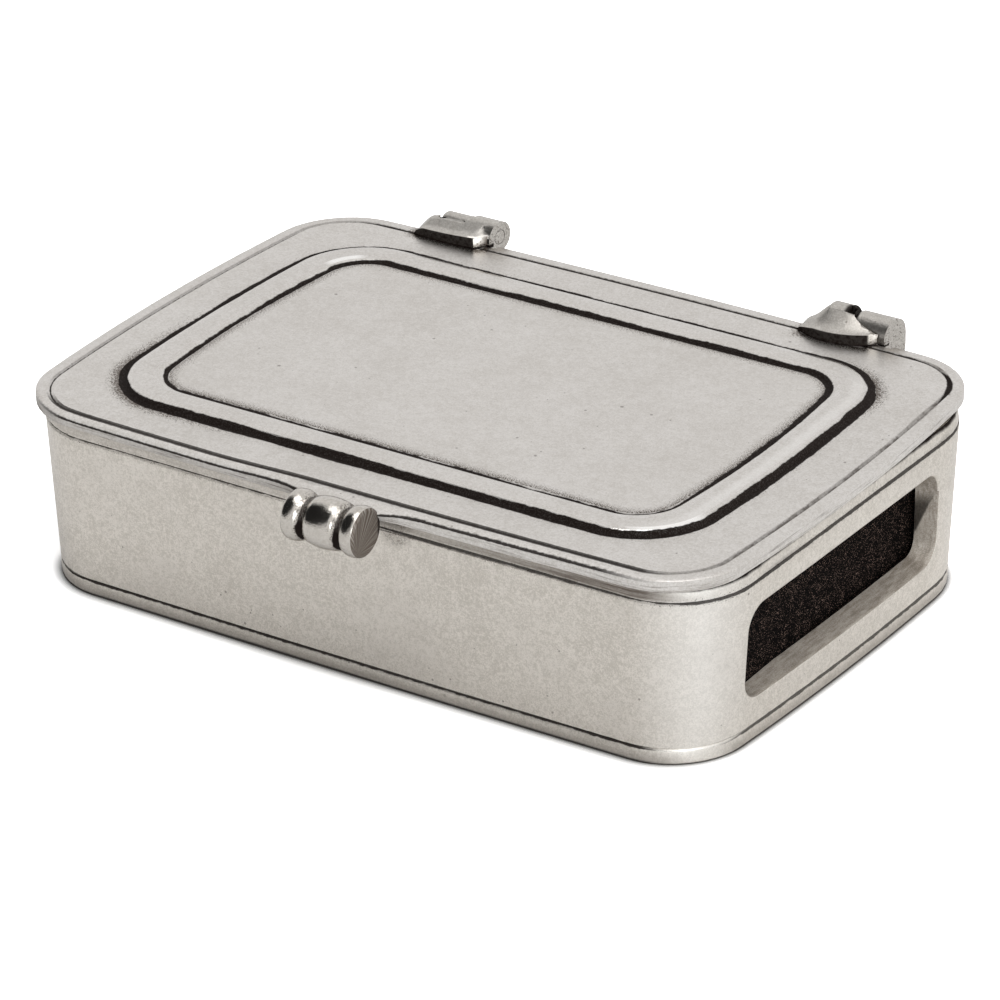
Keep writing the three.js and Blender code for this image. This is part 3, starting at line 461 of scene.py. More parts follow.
def frame_grooves(tree, lid):
    """The frame's two grooves. The inner one is fuller towards the back and thinner at the left."""
    from_outer = folded(tree, [lid.from_frame, OUTER_GROOVE_IN], "ADD")
    from_inner = node(tree, "ShaderNodeMath", {0: lid.from_panel, 1: INNER_GROOVE_OUT}, operation="SUBTRACT")
    fuller = node(tree, "ShaderNodeMapRange", {0: lid.y, 1: -24.0, 2: 22.0, 3: 0.36, 4: 0.62})
    thinner = node(tree, "ShaderNodeMapRange", {0: lid.x, 1: -44.0, 2: -38.0, 3: 0.62, 4: 0.96})
    inner_half = folded(tree, [fuller, thinner], "MULTIPLY")
    outer = band(tree, from_outer, 0.75, 0.2, lid.wobble)
    return outer, band(tree, from_inner, inner_half, 0.22, lid.wobble)


def front_arris_shadow_line(tree, lid):
    """A painted shadow line under the overhanging front arris, which fades out towards both corners."""
    past_left = node(tree, "ShaderNodeMapRange", {0: lid.x, 1: -58.0, 2: -49.0})
    line = band(tree, lid.from_arris, 0.12, 0.12, lid.quick)
    return folded(tree, [line, lid.at_front, lid.before_corner, past_left, 0.96], "MULTIPLY")


def lid_top_stain_and_leaf_shade(tree, point, noises, lid):
    """Brown speckles beside the frame and on the panel's edge; speckles round the hinge leaves, which also
    stand in for the leaves' shadow and reflection on the lid; and patches in the margin line at the right."""
    front_left = spot(tree, point, FRONT_LEFT_SPECKLES, low=0.16, high=0.9)
    back_right = spot(tree, point, BACK_RIGHT_SPECKLES, high=0.8)
    into_panel = folded(tree, [lid.from_panel, -1.0], "MULTIPLY")
    from_left_leaf = plan_distance(tree, point, LEFT_LEAF_PLAN)
    from_right_leaf = plan_distance(tree, point, RIGHT_LEAF_PLAN)
    line = band(tree, lid.from_line, 0.26, 0.2, lid.wobble)
    right_end = node(tree, "ShaderNodeMapRange", {0: lid.x, 1: 44.0, 2: 50.0})
    patchy = node(tree, "ShaderNodeMapRange", {0: noises["blots"], 1: 0.4, 2: 0.56, 3: 0.25, 4: 1.0})
    dust = noises["dust"]
    return folded(
        tree,
        [
            fringe(tree, lid.from_frame, 2.4, front_left, dust),
            fringe(tree, lid.from_frame, 2.4, back_right, dust),
            fringe(tree, into_panel, 1.8, 0.6, dust),
            # Round the leaves: speckles, and a painted shadow and reflection of the leaves on the lid.
            fringe(tree, from_left_leaf, 2.0, 0.9, dust),
            fringe(tree, from_right_leaf, 2.0, 0.8, dust),
            folded(tree, [line, 0.75, right_end, patchy], "MULTIPLY"),
        ],
    )


def lid_flank_stain(tree, point, lid):
    """Brown strokes of the file under the arris, and more dirt towards the left."""
    strokes = file_strokes(tree, point)
    filed = node(tree, "ShaderNodeMapRange", {0: strokes, 1: 0.5, 2: 0.72, 3: 0.0, 4: 0.7})
    dirt = node(tree, "ShaderNodeMapRange", {0: lid.x, 1: -10.0, 2: 14.0, 3: 0.18, 4: 0.0})
    soiled = folded(tree, [filed, dirt], "ADD")
    lower = node(tree, "ShaderNodeMapRange", {0: lid.from_arris, 1: -0.1, 2: -0.3})
    outside_line = node(tree, "ShaderNodeMapRange", {0: lid.from_edge, 1: -1.3, 2: -0.8})
    return folded(tree, [soiled, lower, outside_line], "MULTIPLY")


def lid_roughness(tree, lid):
    """Less on both edges of the band, more on the front shoulder, and that of the cast skin underneath."""
    band_start = band(tree, lid.from_band_start, 0.3, 0.2, 0.0)
    band_end = band(tree, lid.from_band_end, 0.3, 0.2, 0.0)
    burnished = folded(tree, [folded(tree, [band_start, band_end]), -0.2], "MULTIPLY")
    shoulder = node(tree, "ShaderNodeMapRange", {0: lid.from_edge, 1: -1.4, 2: -0.9})
    scratched = folded(tree, [shoulder, lid.at_front, lid.before_corner, DULLEST], "MULTIPLY")
    above = node(tree, "ShaderNodeMapRange", {0: lid.z, 1: LID_FLANK_Z - 0.6, 2: LID_FLANK_Z - 0.3})
    as_cast = node(tree, "ShaderNodeMapRange", {0: above, 1: 0.0, 2: 1.0, 3: 0.3, 4: 0.0})
    worked = folded(tree, [folded(tree, [burnished, scratched], "ADD"), above], "MULTIPLY")
    return folded(tree, [worked, as_cast], "ADD")


def lid_painted_highlights(tree, point, lid):
    """Painted highlights: glints on two corners of the band, and a sheen on the crown of its right bar."""
    start_edge = band(tree, lid.from_band_start, 0.5, 0.35, lid.quick)
    end_edge = band(tree, lid.from_band_end, 0.4, 0.25, lid.quick)
    front = folded(tree, [start_edge, spot(tree, point, FRONT_PAINTED_GLINT, fade="SMOOTHSTEP")], "MULTIPLY")
    back = folded(tree, [end_edge, spot(tree, point, BACK_PAINTED_GLINT, fade="SMOOTHSTEP")], "MULTIPLY")
    from_crown = folded(tree, [lid.from_frame, BAND_CROWN], "ADD")
    right_bar = node(tree, "ShaderNodeMapRange", {0: lid.x, 1: 41.0, 2: 47.0, 3: 0.0, 4: 0.3})
    painted_crown_sheen = folded(tree, [band(tree, from_crown, 0.2, 1.3, 0.0), right_bar], "MULTIPLY")
    return folded(tree, [folded(tree, [front, back, painted_crown_sheen]), lid.upper], "MULTIPLY")


def lid_patina_and_painted_light(tree, point, noises):
    """Black patina in the lid's lines and a painted shadow line under the front arris, brown speckles and
    strokes of the file beside them, and painted highlights on the band.
    """
    lid = lid_places(tree, point, noises)
    lines = [margin_line(tree, point, lid), *frame_grooves(tree, lid), front_arris_shadow_line(tree, lid)]
    grainy = node(tree, "ShaderNodeMapRange", {0: noises["dust"], 1: 0.3, 2: 0.5, 3: 0.95, 4: 1.0})
    black = folded(tree, [folded(tree, lines), lid.upper, grainy], "MULTIPLY")
    on_top = folded(tree, [lid_top_stain_and_leaf_shade(tree, point, noises, lid), lid.upper], "MULTIPLY")
    brown_marks = folded(tree, [on_top, lid_flank_stain(tree, point, lid)])
    return black, brown_marks, lid_roughness(tree, lid), lid_painted_highlights(tree, point, lid)


# Patina of the case, the hinges and the thumb-piece, and the light and shade painted on them


def wall_outside(tree, point):
    """1 on the upright outside of the wall, and 0 on its inside and its level faces."""
    outward = node(tree, "ShaderNodeMapRange", {0: plan_distance(tree, point, WALL_PLAN), 1: 0.2, 2: 0.5})
    normal = node(tree, "ShaderNodeNewGeometry").outputs["Normal"]
    tilt = node(tree, "ShaderNodeSeparateXYZ", {0: normal}).outputs[2]
    steep = node(tree, "ShaderNodeMath", {0: tilt}, operation="ABSOLUTE")
    upright = node(tree, "ShaderNodeMapRange", {0: steep, 1: 0.97, 2: 0.9})
    return folded(tree, [outward, upright], "MULTIPLY")


def wall_lines(tree, x, z, from_line, from_seam, at_front, wobble):
    """The engraved line, the painted shadow under the rim, the seam and painted shade along the foot. The
    line is thin along the front, wider right of the thumb-piece and widest on the end wall."""
    corner = {1: 50.0, 2: 60.0}
    line_half = node(tree, "ShaderNodeMapRange", {0: x, **corner, 3: 0.06, 4: 0.27})
    past_thumb = node(tree, "ShaderNodeMapRange", {0: x, 1: 6.0, 2: 11.0, 3: 0.06, 4: 0.2})
    towards_corner = node(tree, "ShaderNodeMapRange", {0: x, 1: 38.0, 2: 50.0, 3: 1.0, 4: 0.3})
    wider = folded(tree, [line_half, folded(tree, [past_thumb, towards_corner, at_front], "MULTIPLY")])
    line = band(tree, from_line, wider, 0.08, folded(tree, [wobble, 0.6], "MULTIPLY"))
    from_rim = node(tree, "ShaderNodeMath", {0: z, 1: RIM_SHADOW_Z}, operation="SUBTRACT")
    seam_half = node(tree, "ShaderNodeMapRange", {0: x, **corner, 3: 0.2, 4: 0.26})
    seam = band(tree, from_seam, seam_half, 0.1, wobble)
    faded = node(tree, "ShaderNodeMapRange", {0: x, **corner, 3: 0.95, 4: 0.84})
    # Painted shade on the foot, darkening towards the floor and fainter on the end wall.
    low = node(tree, "ShaderNodeMapRange", {0: z, 1: 0.6, 2: 0.1}, interpolation_type="SMOOTHSTEP")
    less_foot_shade_at_end = node(tree, "ShaderNodeMapRange", {0: x, 1: 48.0, 2: 58.0, 3: 0.8, 4: 0.15})
    return folded(
        tree,
        [
            folded(tree, [line, 0.88], "MULTIPLY"),
            band(tree, from_rim, 0.25, 0.5, wobble),
            folded(tree, [seam, faded], "MULTIPLY"),
            folded(tree, [low, less_foot_shade_at_end], "MULTIPLY"),
        ],
    )


def wall_patina_and_painted_light(tree, point, noises):
    """Black lines, with painted shade under the rim and along the foot; brown along the front's rim, partly
    painted shade under the lid; brown deepening under the seam, painted shade towards the floor; brown beside
    the thumb-piece and in speckles beside the engraved line; and a painted highlight on the front right
    corner."""
    x, y, z = node(tree, "ShaderNodeSeparateXYZ", {0: point}).outputs
    outside = wall_outside(tree, point)
    at_front = node(tree, "ShaderNodeMapRange", {0: y, 1: -34.0, 2: -38.0})
    from_line = node(tree, "ShaderNodeMath", {0: z, 1: RIM_LINE_Z}, operation="SUBTRACT")
    from_seam = node(tree, "ShaderNodeMath", {0: z, 1: SEAM_Z}, operation="SUBTRACT")
    lines = wall_lines(tree, x, z, from_line, from_seam, at_front, swing(tree, noises["blots"], 0.07))

    # Brown on the front's rim above the engraved line: stain, and painted shade under the lid's edge, darker
    # towards the right.
    over_line = node(tree, "ShaderNodeMapRange", {0: from_line, 1: 0.1, 2: 0.5})
    browner_right = node(tree, "ShaderNodeMapRange", {0: x, 1: -6.0, 2: 44.0, 3: 0.22, 4: 0.8})
    before_corner = node(tree, "ShaderNodeMapRange", {0: x, 1: 57.0, 2: 50.0})
    filed = node(tree, "ShaderNodeMapRange", {0: file_strokes(tree, point), 1: 0.3, 2: 0.65, 3: 0.6, 4: 1.2})
    rim_stain_and_shade = folded(tree, [over_line, at_front, browner_right, before_corner, filed], "MULTIPLY")
    # Brown that deepens below the seam towards the floor: painted shade.
    shade_below_seam = node(tree, "ShaderNodeMapRange", {0: from_seam, 1: 0.1, 2: -1.6, 3: 0.0, 4: 0.4})
    dusty = node(tree, "ShaderNodeMapRange", {0: noises["dust"], 1: 0.44, 2: 0.6, 3: 0.1, 4: 0.75})
    smudge = folded(tree, [spot(tree, point, THUMB_SMUDGE, fade="SMOOTHSTEP"), dusty], "MULTIPLY")
    beside_line = node(tree, "ShaderNodeMath", {0: from_line}, operation="ABSOLUTE")
    brown_marks = folded(tree, [rim_stain_and_shade, shade_below_seam, smudge, fringe(tree, beside_line, 1.1, 0.3, noises["dust"])])

    # A painted highlight on the front right corner, brighter towards the end and the front.
    by_end = node(tree, "ShaderNodeMapRange", {0: x, 1: 48.0, 2: 57.0, 3: 0.0, 4: 0.42})
    by_front = node(tree, "ShaderNodeMapRange", {0: y, 1: -27.0, 2: -36.0})
    black = folded(tree, [lines, outside], "MULTIPLY")
    brown = folded(tree, [brown_marks, outside], "MULTIPLY")
    return black, brown, 0.0, folded(tree, [by_end, by_front], "MULTIPLY")


def hinge_patina_and_painted_shade(tree, point, noises):
    """Black where the leaves meet the lid; painted shade and dark reflection, with some patina, on their
    shaded fronts, in the right one's slot and notch and fading onto the tops beside them; brown on their
    heels and cut ends.
    """
    _, y, z = node(tree, "ShaderNodeSeparateXYZ", {0: point}).outputs
    shaded_side, heel_face, end_face = (
        node(tree, "ShaderNodeAttribute", attribute_name=name).outputs["Fac"]
        for name in ("shaded_side", "heel_face", "end_face")
    )
    over_lid = node(tree, "ShaderNodeMath", {0: z, 1: LID_TOP}, operation="SUBTRACT")
    on_lid = node(tree, "ShaderNodeMath", {0: y, 1: LEAVES_ON_LID}, operation="LESS_THAN")
    foot_line = band(tree, over_lid, 0.1, 0.2, swing(tree, noises["blots"], 0.1))
    foot = folded(tree, [foot_line, on_lid], "MULTIPLY")
    # Painted shade and dark reflection on the leaves' fronts, slot and notch, fading onto the faces beside
    # them.
    shaded = node(
        tree,
        "ShaderNodeMapRange",
        {0: shaded_side, 1: 0.72, 2: 0.96},
        interpolation_type="SMOOTHSTEP",
    )
    worn = node(tree, "ShaderNodeMapRange", {0: noises["grain"], 1: 0.36, 2: 0.5, 3: 1.0, 4: 0.95})
    not_heel = node(tree, "ShaderNodeMath", {0: 1.0, 1: heel_face}, operation="SUBTRACT")
    painted_shade_front = folded(tree, [shaded, worn, not_heel], "MULTIPLY")
    speckles = folded(tree, [fringe(tree, over_lid, 1.6, 0.6, noises["dust"]), on_lid], "MULTIPLY")
    by_knuckle = node(tree, "ShaderNodeMapRange", {0: y, 1: 39.3, 2: 40.6, 3: 0.0, 4: 0.85})
    heel = folded(tree, [heel_face, by_knuckle], "MULTIPLY")
    scored = node(tree, "ShaderNodeMapRange", {0: noises["fine"], 1: 0.52, 2: 0.7})
    brown_marks = folded(tree, [speckles, heel, folded(tree, [end_face, scored], "MULTIPLY")])
    return folded(tree, [foot, painted_shade_front]), brown_marks, 0.0, 0.0


def thumb_patina(tree, point, noises):
    """Black in the two turned grooves and in the joint with the lid, and a rough end with scratches."""
    x, y, z = node(tree, "ShaderNodeSeparateXYZ", {0: point}).outputs
    middle_x, axis_y, axis_z = THUMB_AXIS
    along = node(tree, "ShaderNodeMath", {0: x, 1: middle_x}, operation="SUBTRACT")
    either_way = node(tree, "ShaderNodeMath", {0: along}, operation="ABSOLUTE")
    from_groove = node(tree, "ShaderNodeMath", {0: either_way, 1: THUMB_GROOVE}, operation="SUBTRACT")
    groove_half = node(tree, "ShaderNodeMapRange", {0: z, 1: 29.4, 2: 27.6, 3: 0.34, 4: 0.6})
    groove = band(tree, from_groove, groove_half, 0.16, swing(tree, noises["blots"], 0.08))
    fuller_below = node(tree, "ShaderNodeMapRange", {0: z, 1: 30.6, 2: 28.6, 3: 0.6, 4: 1.0})
    grooves = folded(tree, [groove, fuller_below], "MULTIPLY")
    joint = node(tree, "ShaderNodeMapRange", {0: y, 1: -44.3, 2: -43.7}, interpolation_type="SMOOTHSTEP")

    sideways = node(tree, "ShaderNodeMath", {0: y, 1: axis_y - THUMB_SCRATCHES}, operation="SUBTRACT")
    upwards = node(tree, "ShaderNodeMath", {0: z, 1: axis_z - THUMB_SCRATCHES}, operation="SUBTRACT")
    turn = node(tree, "ShaderNodeMath", {0: upwards, 1: sideways}, operation="ARCTAN2")
    rays = node(
        tree,
        "ShaderNodeTexNoise",
        {"W": turn, "Scale": 14.0, "Detail": 4.0, "Roughness": 0.7},
        noise_dimensions="1D",
    )
    scratched = node(tree, "ShaderNodeMapRange", {0: rays, 1: 0.32, 2: 0.58, 3: 0.55, 4: 1.0})
    end_face = node(tree, "ShaderNodeAttribute", attribute_name="end_face").outputs["Fac"]
    end = folded(tree, [end_face, scratched], "MULTIPLY")
    beside_groove = node(tree, "ShaderNodeMath", {0: from_groove}, operation="ABSOLUTE")
    brown_marks = folded(tree, [end, fringe(tree, beside_groove, 1.3, 0.7, noises["dust"])])
    return folded(tree, [grooves, joint]), brown_marks, folded(tree, [end_face, 0.3], "MULTIPLY"), 0.0


def plain_patina(tree, point, noises):
    """Only a few dark specks."""
    specks = node(tree, "ShaderNodeMapRange", {0: noises["grain"], 1: 0.74, 2: 0.82})
    return specks, specks, 0.0, 0.0


# Grit and board


def striking_grit():
    """Mineral grit glued on paper. To the eye: near black and granular, with fine pinkish brown glints
    painted into its colour where single grains would catch the light. The grains are drawn at 0.1 mm, coarser
    than real ones, which don't show."""
    material, tree = new_material("striking grit, glued on paper")
    point = point_in_millimetres(tree)
    grains = node(tree, "ShaderNodeTexVoronoi", {"Vector": point, "Scale": GRAINS}).outputs
    shade = node(tree, "ShaderNodeSeparateColor", {0: grains["Color"]})
    patches = node(tree, "ShaderNodeTexNoise", {"Vector": point, "Scale": 0.5, "Detail": 3.0})
    chance = folded(tree, [shade, folded(tree, [patches, 0.15], "MULTIPLY")], "ADD")
    # Painted highlights: grains picked at random are coloured as glints.
    painted_glint = node(tree, "ShaderNodeMapRange", {0: chance, 1: 0.99, 2: 1.07})
    colour = node(tree, "ShaderNodeMix", {0: painted_glint, 6: GRIT_BLACK, 7: GRIT_PAINTED_GLINT}, data_type="RGBA")
    bump = node(tree, "ShaderNodeBump", {**GRIT_RELIEF, "Height": grains["Distance"]}, invert=True)
    shader = node(
        tree,
        "ShaderNodeBsdfPrincipled",
        {"Base Color": colour.outputs[2], "Roughness": 0.85, "Specular IOR Level": 0.04, "Normal": bump},
    )
    node(tree, "ShaderNodeOutputMaterial", {0: shader})
    return material


def paperboard():
    """Plain grey-brown board, pressed from pulp. To the eye: matt and faintly fibrous."""
    material, tree = new_material("grey board, pressed")
    point = point_in_millimetres(tree)
    fibres = node(tree, "ShaderNodeTexNoise", {"Vector": point, "Scale": 3.0, "Detail": 4.0})
    colour = node(tree, "ShaderNodeMix", {0: fibres, 6: BOARD_DARK, 7: BOARD_LIGHT}, data_type="RGBA")
    shader = node(tree, "ShaderNodeBsdfPrincipled", {"Base Color": colour.outputs[2], "Roughness": 0.85})
    node(tree, "ShaderNodeOutputMaterial", {0: shader})
    return material


LID_PEWTER = cast_pewter("pewter, cast and brushed, lid", lid_patina_and_painted_light)
WALL_PEWTER = cast_pewter(
    "pewter, cast and brushed, case wall",
    wall_patina_and_painted_light,
    WALL_LIGHT,
    WALL_DARK,
    roughness=0.4,
    haze=0.17,
    spread=0.22,
)
HINGE_PEWTER = cast_pewter(
    "pewter, cast and filed, hinges",
    hinge_patina_and_painted_shade,
    HINGE_LIGHT,
    HINGE_DARK,
    roughness=0.34,
)
PLAIN_PEWTER = cast_pewter("pewter, cast and brushed", plain_patina)
FILED_PEWTER = cast_pewter(
    "pewter, filed",
    plain_patina,
    FILED_LIGHT,
    FILED_DARK,
    roughness=0.6,
    haze=0.3,
    stretch=(1, 0.12, 0.3),
)
TURNED_PEWTER = cast_pewter(
    "pewter, turned and burnished",
    thumb_patina,
    TURNED_LIGHT,
    TURNED_DARK,
    roughness=0.17,
)
GRIT = striking_grit()
BOARD = paperboard()


# Pieces

MERGE_WITHIN = 2e-6  # metres
LEVEL_ANGLE = math.radians(0.4)
SMOOTH_ANGLE = math.radians(38)
RAIL_EDGE = 0.0001  # metres, the rounding of the rails' edges
NOTCH_LIP = 0.0001
NOTCH_DEPTH = 0.0012


def copied(source):
    """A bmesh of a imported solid, with its loose triangles merged into one surface and level ones joined."""
    mesh = bmesh.new()
    mesh.from_mesh(frame["nodes"][source].data)
    bmesh.ops.remove_doubles(mesh, verts=mesh.verts, dist=MERGE_WITHIN)
    bmesh.ops.dissolve_degenerate(mesh, edges=mesh.edges, dist=MERGE_WITHIN)
    bmesh.ops.dissolve_limit(
        mesh,
        angle_limit=LEVEL_ANGLE,
        use_dissolve_boundaries=False,
        verts=mesh.verts,
        edges=mesh.edges,
    )
    return mesh


def in_box(place, box):
    """Whether a point in metres lies in a box in millimetres."""
    return all(low < value * 1000 < high for low, value, high in zip(box[0], place, box[1]))


def is_leaf(face):
    """Whether a face of a hinge lies in front of its knuckle."""
    return face.center.y * 1000 < LEAF_BACK


def is_end(face, source):
    """Whether a face is a right-hand end of a hinge piece or of the thumb-piece, and not a groove's side."""
    return face.normal.x > FACING and (source != "thumb_piece" or face.center.x * 1000 > THUMB_END)


def is_shaded_side(face, source):
    """Whether a face of a lid hinge is painted as shade: the dark front of its leaf, or in the right
    one's slot or notch.
    """
    right = source == "lid_hinge_right"
    front = face.normal.y < -0.45 and face.normal.z < 0.75 and abs(face.normal.x) < 0.6 and is_leaf(face)
    slot = right and face.normal.x > 0.3 and in_box(face.center, SLOT_BOX)
    notch = right and in_box(face.center, NOTCH_BOX)
    return source.startswith("lid_hinge") and (front or slot or notch)


def paint_faces(data, name, test):
    """Stores 1 on the faces that pass a test and 0 on the others, for a material to read."""
    layer = data.attributes.new(name, "FLOAT", "FACE")
    for face in data.polygons:
        layer.data[face.index].value = 1.0 if test(face) else 0.0


def paint_points(data, name, test):
    """Stores 1 on the points of the faces that pass a test, so that it fades over the faces beside them."""
    layer = data.attributes.new(name, "FLOAT", "POINT")
    for face in data.polygons:
        if test(face):
            for index in face.vertices:
                layer.data[index].value = 1.0


def open_notch(mesh):
    """Sinks the surface between the right leaf's heel and its knuckle, a dark hole in the photograph."""
    (left, front, _), (_, back, _) = NOTCH_BOX
    for place, facing in (((left, 0, 0), (1, 0, 0)), ((0, front, 0), (0, 1, 0)), ((0, back, 0), (0, 1, 0))):
        everything = mesh.verts[:] + mesh.edges[:] + mesh.faces[:]
        on_plane, normal = Vector(place) / 1000, Vector(facing)
        bmesh.ops.bisect_plane(mesh, geom=everything, plane_co=on_plane, plane_no=normal)
    inside = [face for face in mesh.faces if in_box(face.calc_center_median(), NOTCH_BOX)]
    sunk = [face for face in inside if face.normal.z > 0.3]
    bmesh.ops.inset_region(mesh, faces=sunk, thickness=NOTCH_LIP, depth=-NOTCH_DEPTH, use_even_offset=True)


def file_reveals(data):
    """Gives the inside of the window's opening its filed surface."""
    data.materials.append(FILED_PEWTER)
    for face in data.polygons:
        face.material_index = int(in_box(face.center, REVEAL_BOX) and abs(face.normal.x) < 0.5)


def finished(mesh, source, material, edge):
    """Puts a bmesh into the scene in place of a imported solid."""
    name = source + "_surface"
    data = bpy.data.meshes.new(name)
    mesh.to_mesh(data)
    mesh.free()
    made = bpy.data.objects.new(name, data)
    bpy.context.scene.collection.objects.link(made)
    data.materials.append(material)
    for face in data.polygons:
        face.use_smooth = True
    if source == "case_wall":
        file_reveals(data)
    if "hinge" in source or source == "thumb_piece":
        paint_faces(data, "heel_face", lambda face: face.normal.x > FACING and is_leaf(face))
        # Painted shade: the hinges' dark fronts, slot and notch, for the hinge material to read.
        paint_points(data, "shaded_side", lambda face: is_shaded_side(face, source))
        paint_faces(data, "end_face", lambda face: is_end(face, source))
    data.set_sharp_from_angle(angle=SMOOTH_ANGLE)
    if edge:
        rounded = made.modifiers.new("eased edges", "BEVEL")
        rounded.width = edge
        rounded.segments = 3
        rounded.limit_method = "ANGLE"
        rounded.angle_limit = SMOOTH_ANGLE
        rounded.harden_normals = True
    level = made.modifiers.new("flat faces stay flat", "WEIGHTED_NORMAL")
    level.keep_sharp = True
    body = frame["nodes"][source]["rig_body"]
    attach(made, body)
    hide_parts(source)


DRESSED = {
    "case_wall": (WALL_PEWTER, "pewter", 0),
    "base_plate": (WALL_PEWTER, "pewter", 0),
    "striker_strip": (GRIT, "striking_grit", 0),
    "striker_backing": (BOARD, "backing_card", 0),
    "striker_rail_upper": (PLAIN_PEWTER, "pewter", RAIL_EDGE),
    "striker_rail_lower": (PLAIN_PEWTER, "pewter", RAIL_EDGE),
    "case_hinge_left": (HINGE_PEWTER, "pewter", 0),
    "case_hinge_right": (HINGE_PEWTER, "pewter", 0),
    "hinge_pin_left": (HINGE_PEWTER, "pin_metal", 0),
    "hinge_pin_right": (HINGE_PEWTER, "pin_metal", 0),
    "lid": (LID_PEWTER, "pewter", 0),
    "lid_hinge_left": (HINGE_PEWTER, "pewter", 0),
    "lid_hinge_right": (HINGE_PEWTER, "pewter", 0),
    "thumb_piece": (TURNED_PEWTER, "polished_pewter", 0),
}

for source, (material, slot, edge) in DRESSED.items():
    surface = copied(source)
    if source == "lid_hinge_right":
        open_notch(surface)
    finished(surface, source, material, edge)


# Stage, in metres and degrees

FLOOR_HALF = 4.0
CONTACT_REACH = 0.0024  # the floor is shaded this near to the box
FLOOR_GLOW = 0.15
DARK_SIDE = Vector((-0.72, -0.42, 0.55)).normalized()
DARK_STRETCH = Vector((0.8, 1, 1))
DARK_LIMITS = {1: 0.84, 2: 0.64}  # cosines of the angles where the dark side ends and the light room begins
ROOM_DARK = 0.02
ROOM_LIGHT = 0.89
SOFTBOXES = {
    "overhead softbox": {"place": (0.25, -0.05, 1.0), "target": (0, 0, 0), "size": (0.6, 1.3), "power": 4.4},
    "right softbox": {
        "place": (0.9, -0.8, 0.3),
        "target": (0, 0, 0.02),
        "size": (0.6, 0.6),
        "power": 4.3,
        "colour": (0.92, 0.97, 1.0),
    },
}
CAMERA_AZIMUTH = 33.85
CAMERA_ELEVATION = 26.69
CAMERA_ROLL = -1.09
CAMERA_DISTANCE = 0.75167
CAMERA_TARGET = Vector((0.00006, -0.00084, 0.01156))
PHOTO_PIXELS = 1000
FOCAL_PIXELS = 5053.37
SENSOR_WIDTH = 36  # millimetres
CLIPPED = (0.01, 20)  # the camera sees nothing nearer or farther than this


def floor():
    """A wide pale floor. The camera sees it more than twice as bright as the metal does, so that it clips
    to white up to the narrow shadow where the box stands."""
    mesh = bmesh.new()
    bmesh.ops.create_grid(mesh, x_segments=1, y_segments=1, size=FLOOR_HALF)
    data = bpy.data.meshes.new("floor")
    mesh.to_mesh(data)
    mesh.free()
    made = bpy.data.objects.new("floor", data)
    bpy.context.scene.collection.objects.link(made)
    material, tree = new_material("white paper sweep")
    seen_by_camera = node(tree, "ShaderNodeLightPath").outputs["Is Camera Ray"]
    paper = node(tree, "ShaderNodeBsdfDiffuse", {"Color": PAPER})
    open_sky = node(tree, "ShaderNodeAmbientOcclusion", {"Distance": CONTACT_REACH}).outputs["AO"]
    clear = node(tree, "ShaderNodeMapRange", {0: open_sky, 1: 0.45, 2: 0.9})
    tint = node(tree, "ShaderNodeMix", {0: clear, 6: CONTACT_SHADE, 7: PAPER}, data_type="RGBA")
    seen = node(tree, "ShaderNodeBsdfDiffuse", {"Color": tint.outputs[2]})
    strength = folded(tree, [clear, FLOOR_GLOW], "MULTIPLY")
    glow = node(tree, "ShaderNodeEmission", {"Color": WHITE, "Strength": strength})
    twice = node(tree, "ShaderNodeAddShader", {0: seen, 1: seen})
    bright = node(tree, "ShaderNodeAddShader", {0: twice, 1: glow})
    mixed = node(tree, "ShaderNodeMixShader", {0: seen_by_camera, 1: paper, 2: bright})
    node(tree, "ShaderNodeOutputMaterial", {0: mixed})
    data.materials.append(material)


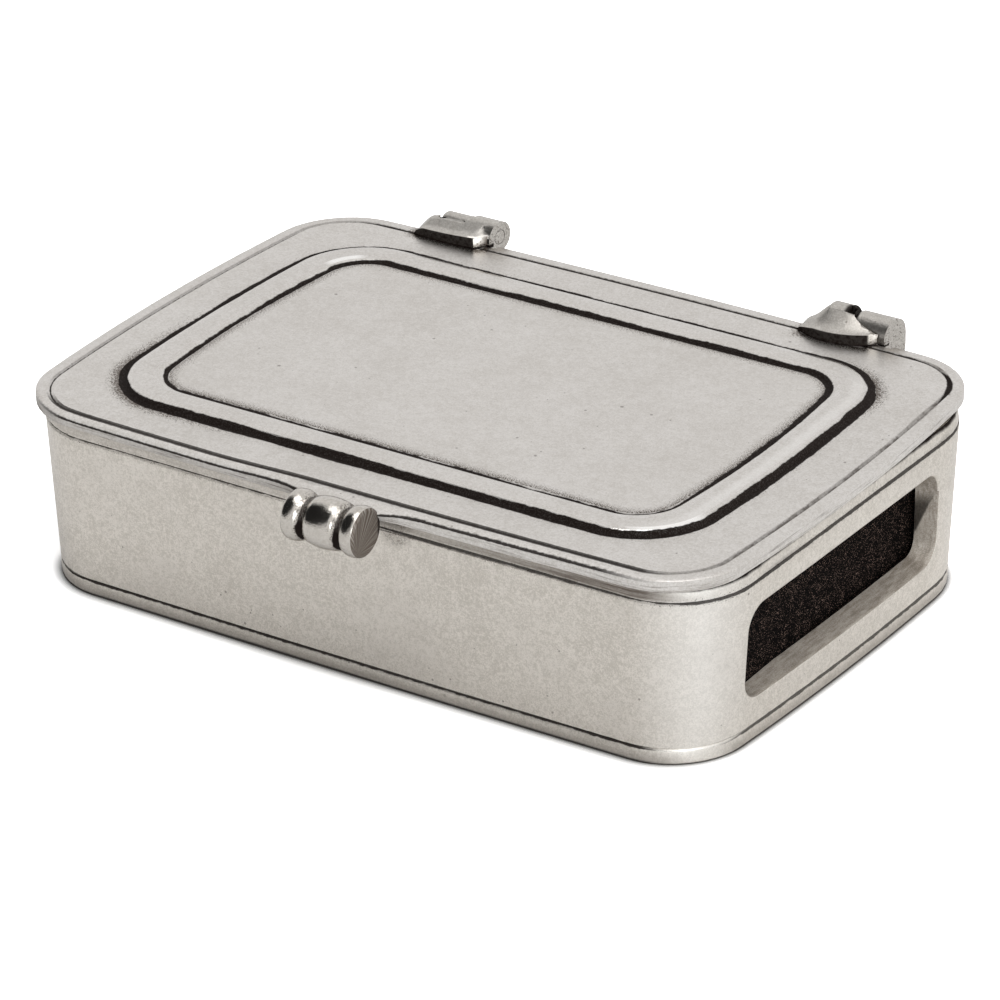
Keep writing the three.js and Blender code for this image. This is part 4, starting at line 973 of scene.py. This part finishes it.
def studio_world():
    """A light room with a dark side to the left of the camera, which gives the metal its contrast. The
    camera itself sees white."""
    world = bpy.data.worlds.new("studio")
    bpy.context.scene.world = world
    world.use_nodes = True
    tree = world.node_tree
    tree.nodes.clear()
    seen_by_camera = node(tree, "ShaderNodeLightPath").outputs["Is Camera Ray"]
    towards = node(tree, "ShaderNodeTexCoord").outputs["Generated"]
    drawn_in = node(tree, "ShaderNodeVectorMath", {0: towards, 1: DARK_STRETCH}, operation="MULTIPLY")
    even = node(tree, "ShaderNodeVectorMath", {0: drawn_in}, operation="NORMALIZE")
    middle = (DARK_SIDE * DARK_STRETCH).normalized()
    facing = node(tree, "ShaderNodeVectorMath", {0: even, 1: middle}, operation="DOT_PRODUCT")
    strength = node(
        tree,
        "ShaderNodeMapRange",
        {0: facing.outputs["Value"], **DARK_LIMITS, 3: ROOM_DARK, 4: ROOM_LIGHT},
        interpolation_type="SMOOTHSTEP",
    )
    room = node(tree, "ShaderNodeBackground", {"Color": WHITE, "Strength": strength})
    white = node(tree, "ShaderNodeBackground", {"Color": WHITE, "Strength": 1.0})
    mixed = node(tree, "ShaderNodeMixShader", {0: seen_by_camera, 1: room, 2: white})
    node(tree, "ShaderNodeOutputWorld", {0: mixed})


def softbox(name, place, target, size, power, colour=(1, 1, 1)):
    data = bpy.data.lights.new(name, "AREA")
    data.shape = "RECTANGLE"
    data.size, data.size_y = size
    data.energy = power
    data.color = colour
    made = bpy.data.objects.new(name, data)
    bpy.context.scene.collection.objects.link(made)
    made.location = place
    made.rotation_mode = "QUATERNION"
    made.rotation_quaternion = (Vector(target) - Vector(place)).to_track_quat("-Z", "Y")


def camera():
    """The photograph's camera: a long lens, right of the front, looking down, and rolled one degree."""
    azimuth, elevation = math.radians(CAMERA_AZIMUTH), math.radians(CAMERA_ELEVATION)
    roll = math.radians(CAMERA_ROLL)
    level = Vector((math.sin(azimuth), -math.cos(azimuth), 0))
    back = level * math.cos(elevation) + Vector((0, 0, math.sin(elevation)))
    right = (-back).cross(Vector((0, 0, 1))).normalized()
    up = right.cross(-back)
    right, up = right * math.cos(roll) + up * math.sin(roll), up * math.cos(roll) - right * math.sin(roll)
    data = bpy.data.cameras.new("camera")
    data.sensor_width = SENSOR_WIDTH
    data.lens = FOCAL_PIXELS / PHOTO_PIXELS * SENSOR_WIDTH
    data.clip_start, data.clip_end = CLIPPED
    made = bpy.data.objects.new("camera", data)
    bpy.context.scene.collection.objects.link(made)
    place = CAMERA_TARGET + back * CAMERA_DISTANCE
    made.matrix_world = Matrix(
        (
            (right.x, up.x, back.x, place.x),
            (right.y, up.y, back.y, place.y),
            (right.z, up.z, back.z, place.z),
            (0, 0, 0, 1),
        )
    )
    bpy.context.scene.camera = made


floor()
studio_world()
for name, light in SOFTBOXES.items():
    softbox(name, **light)
camera()
bpy.context.scene.view_settings.view_transform = "Standard"
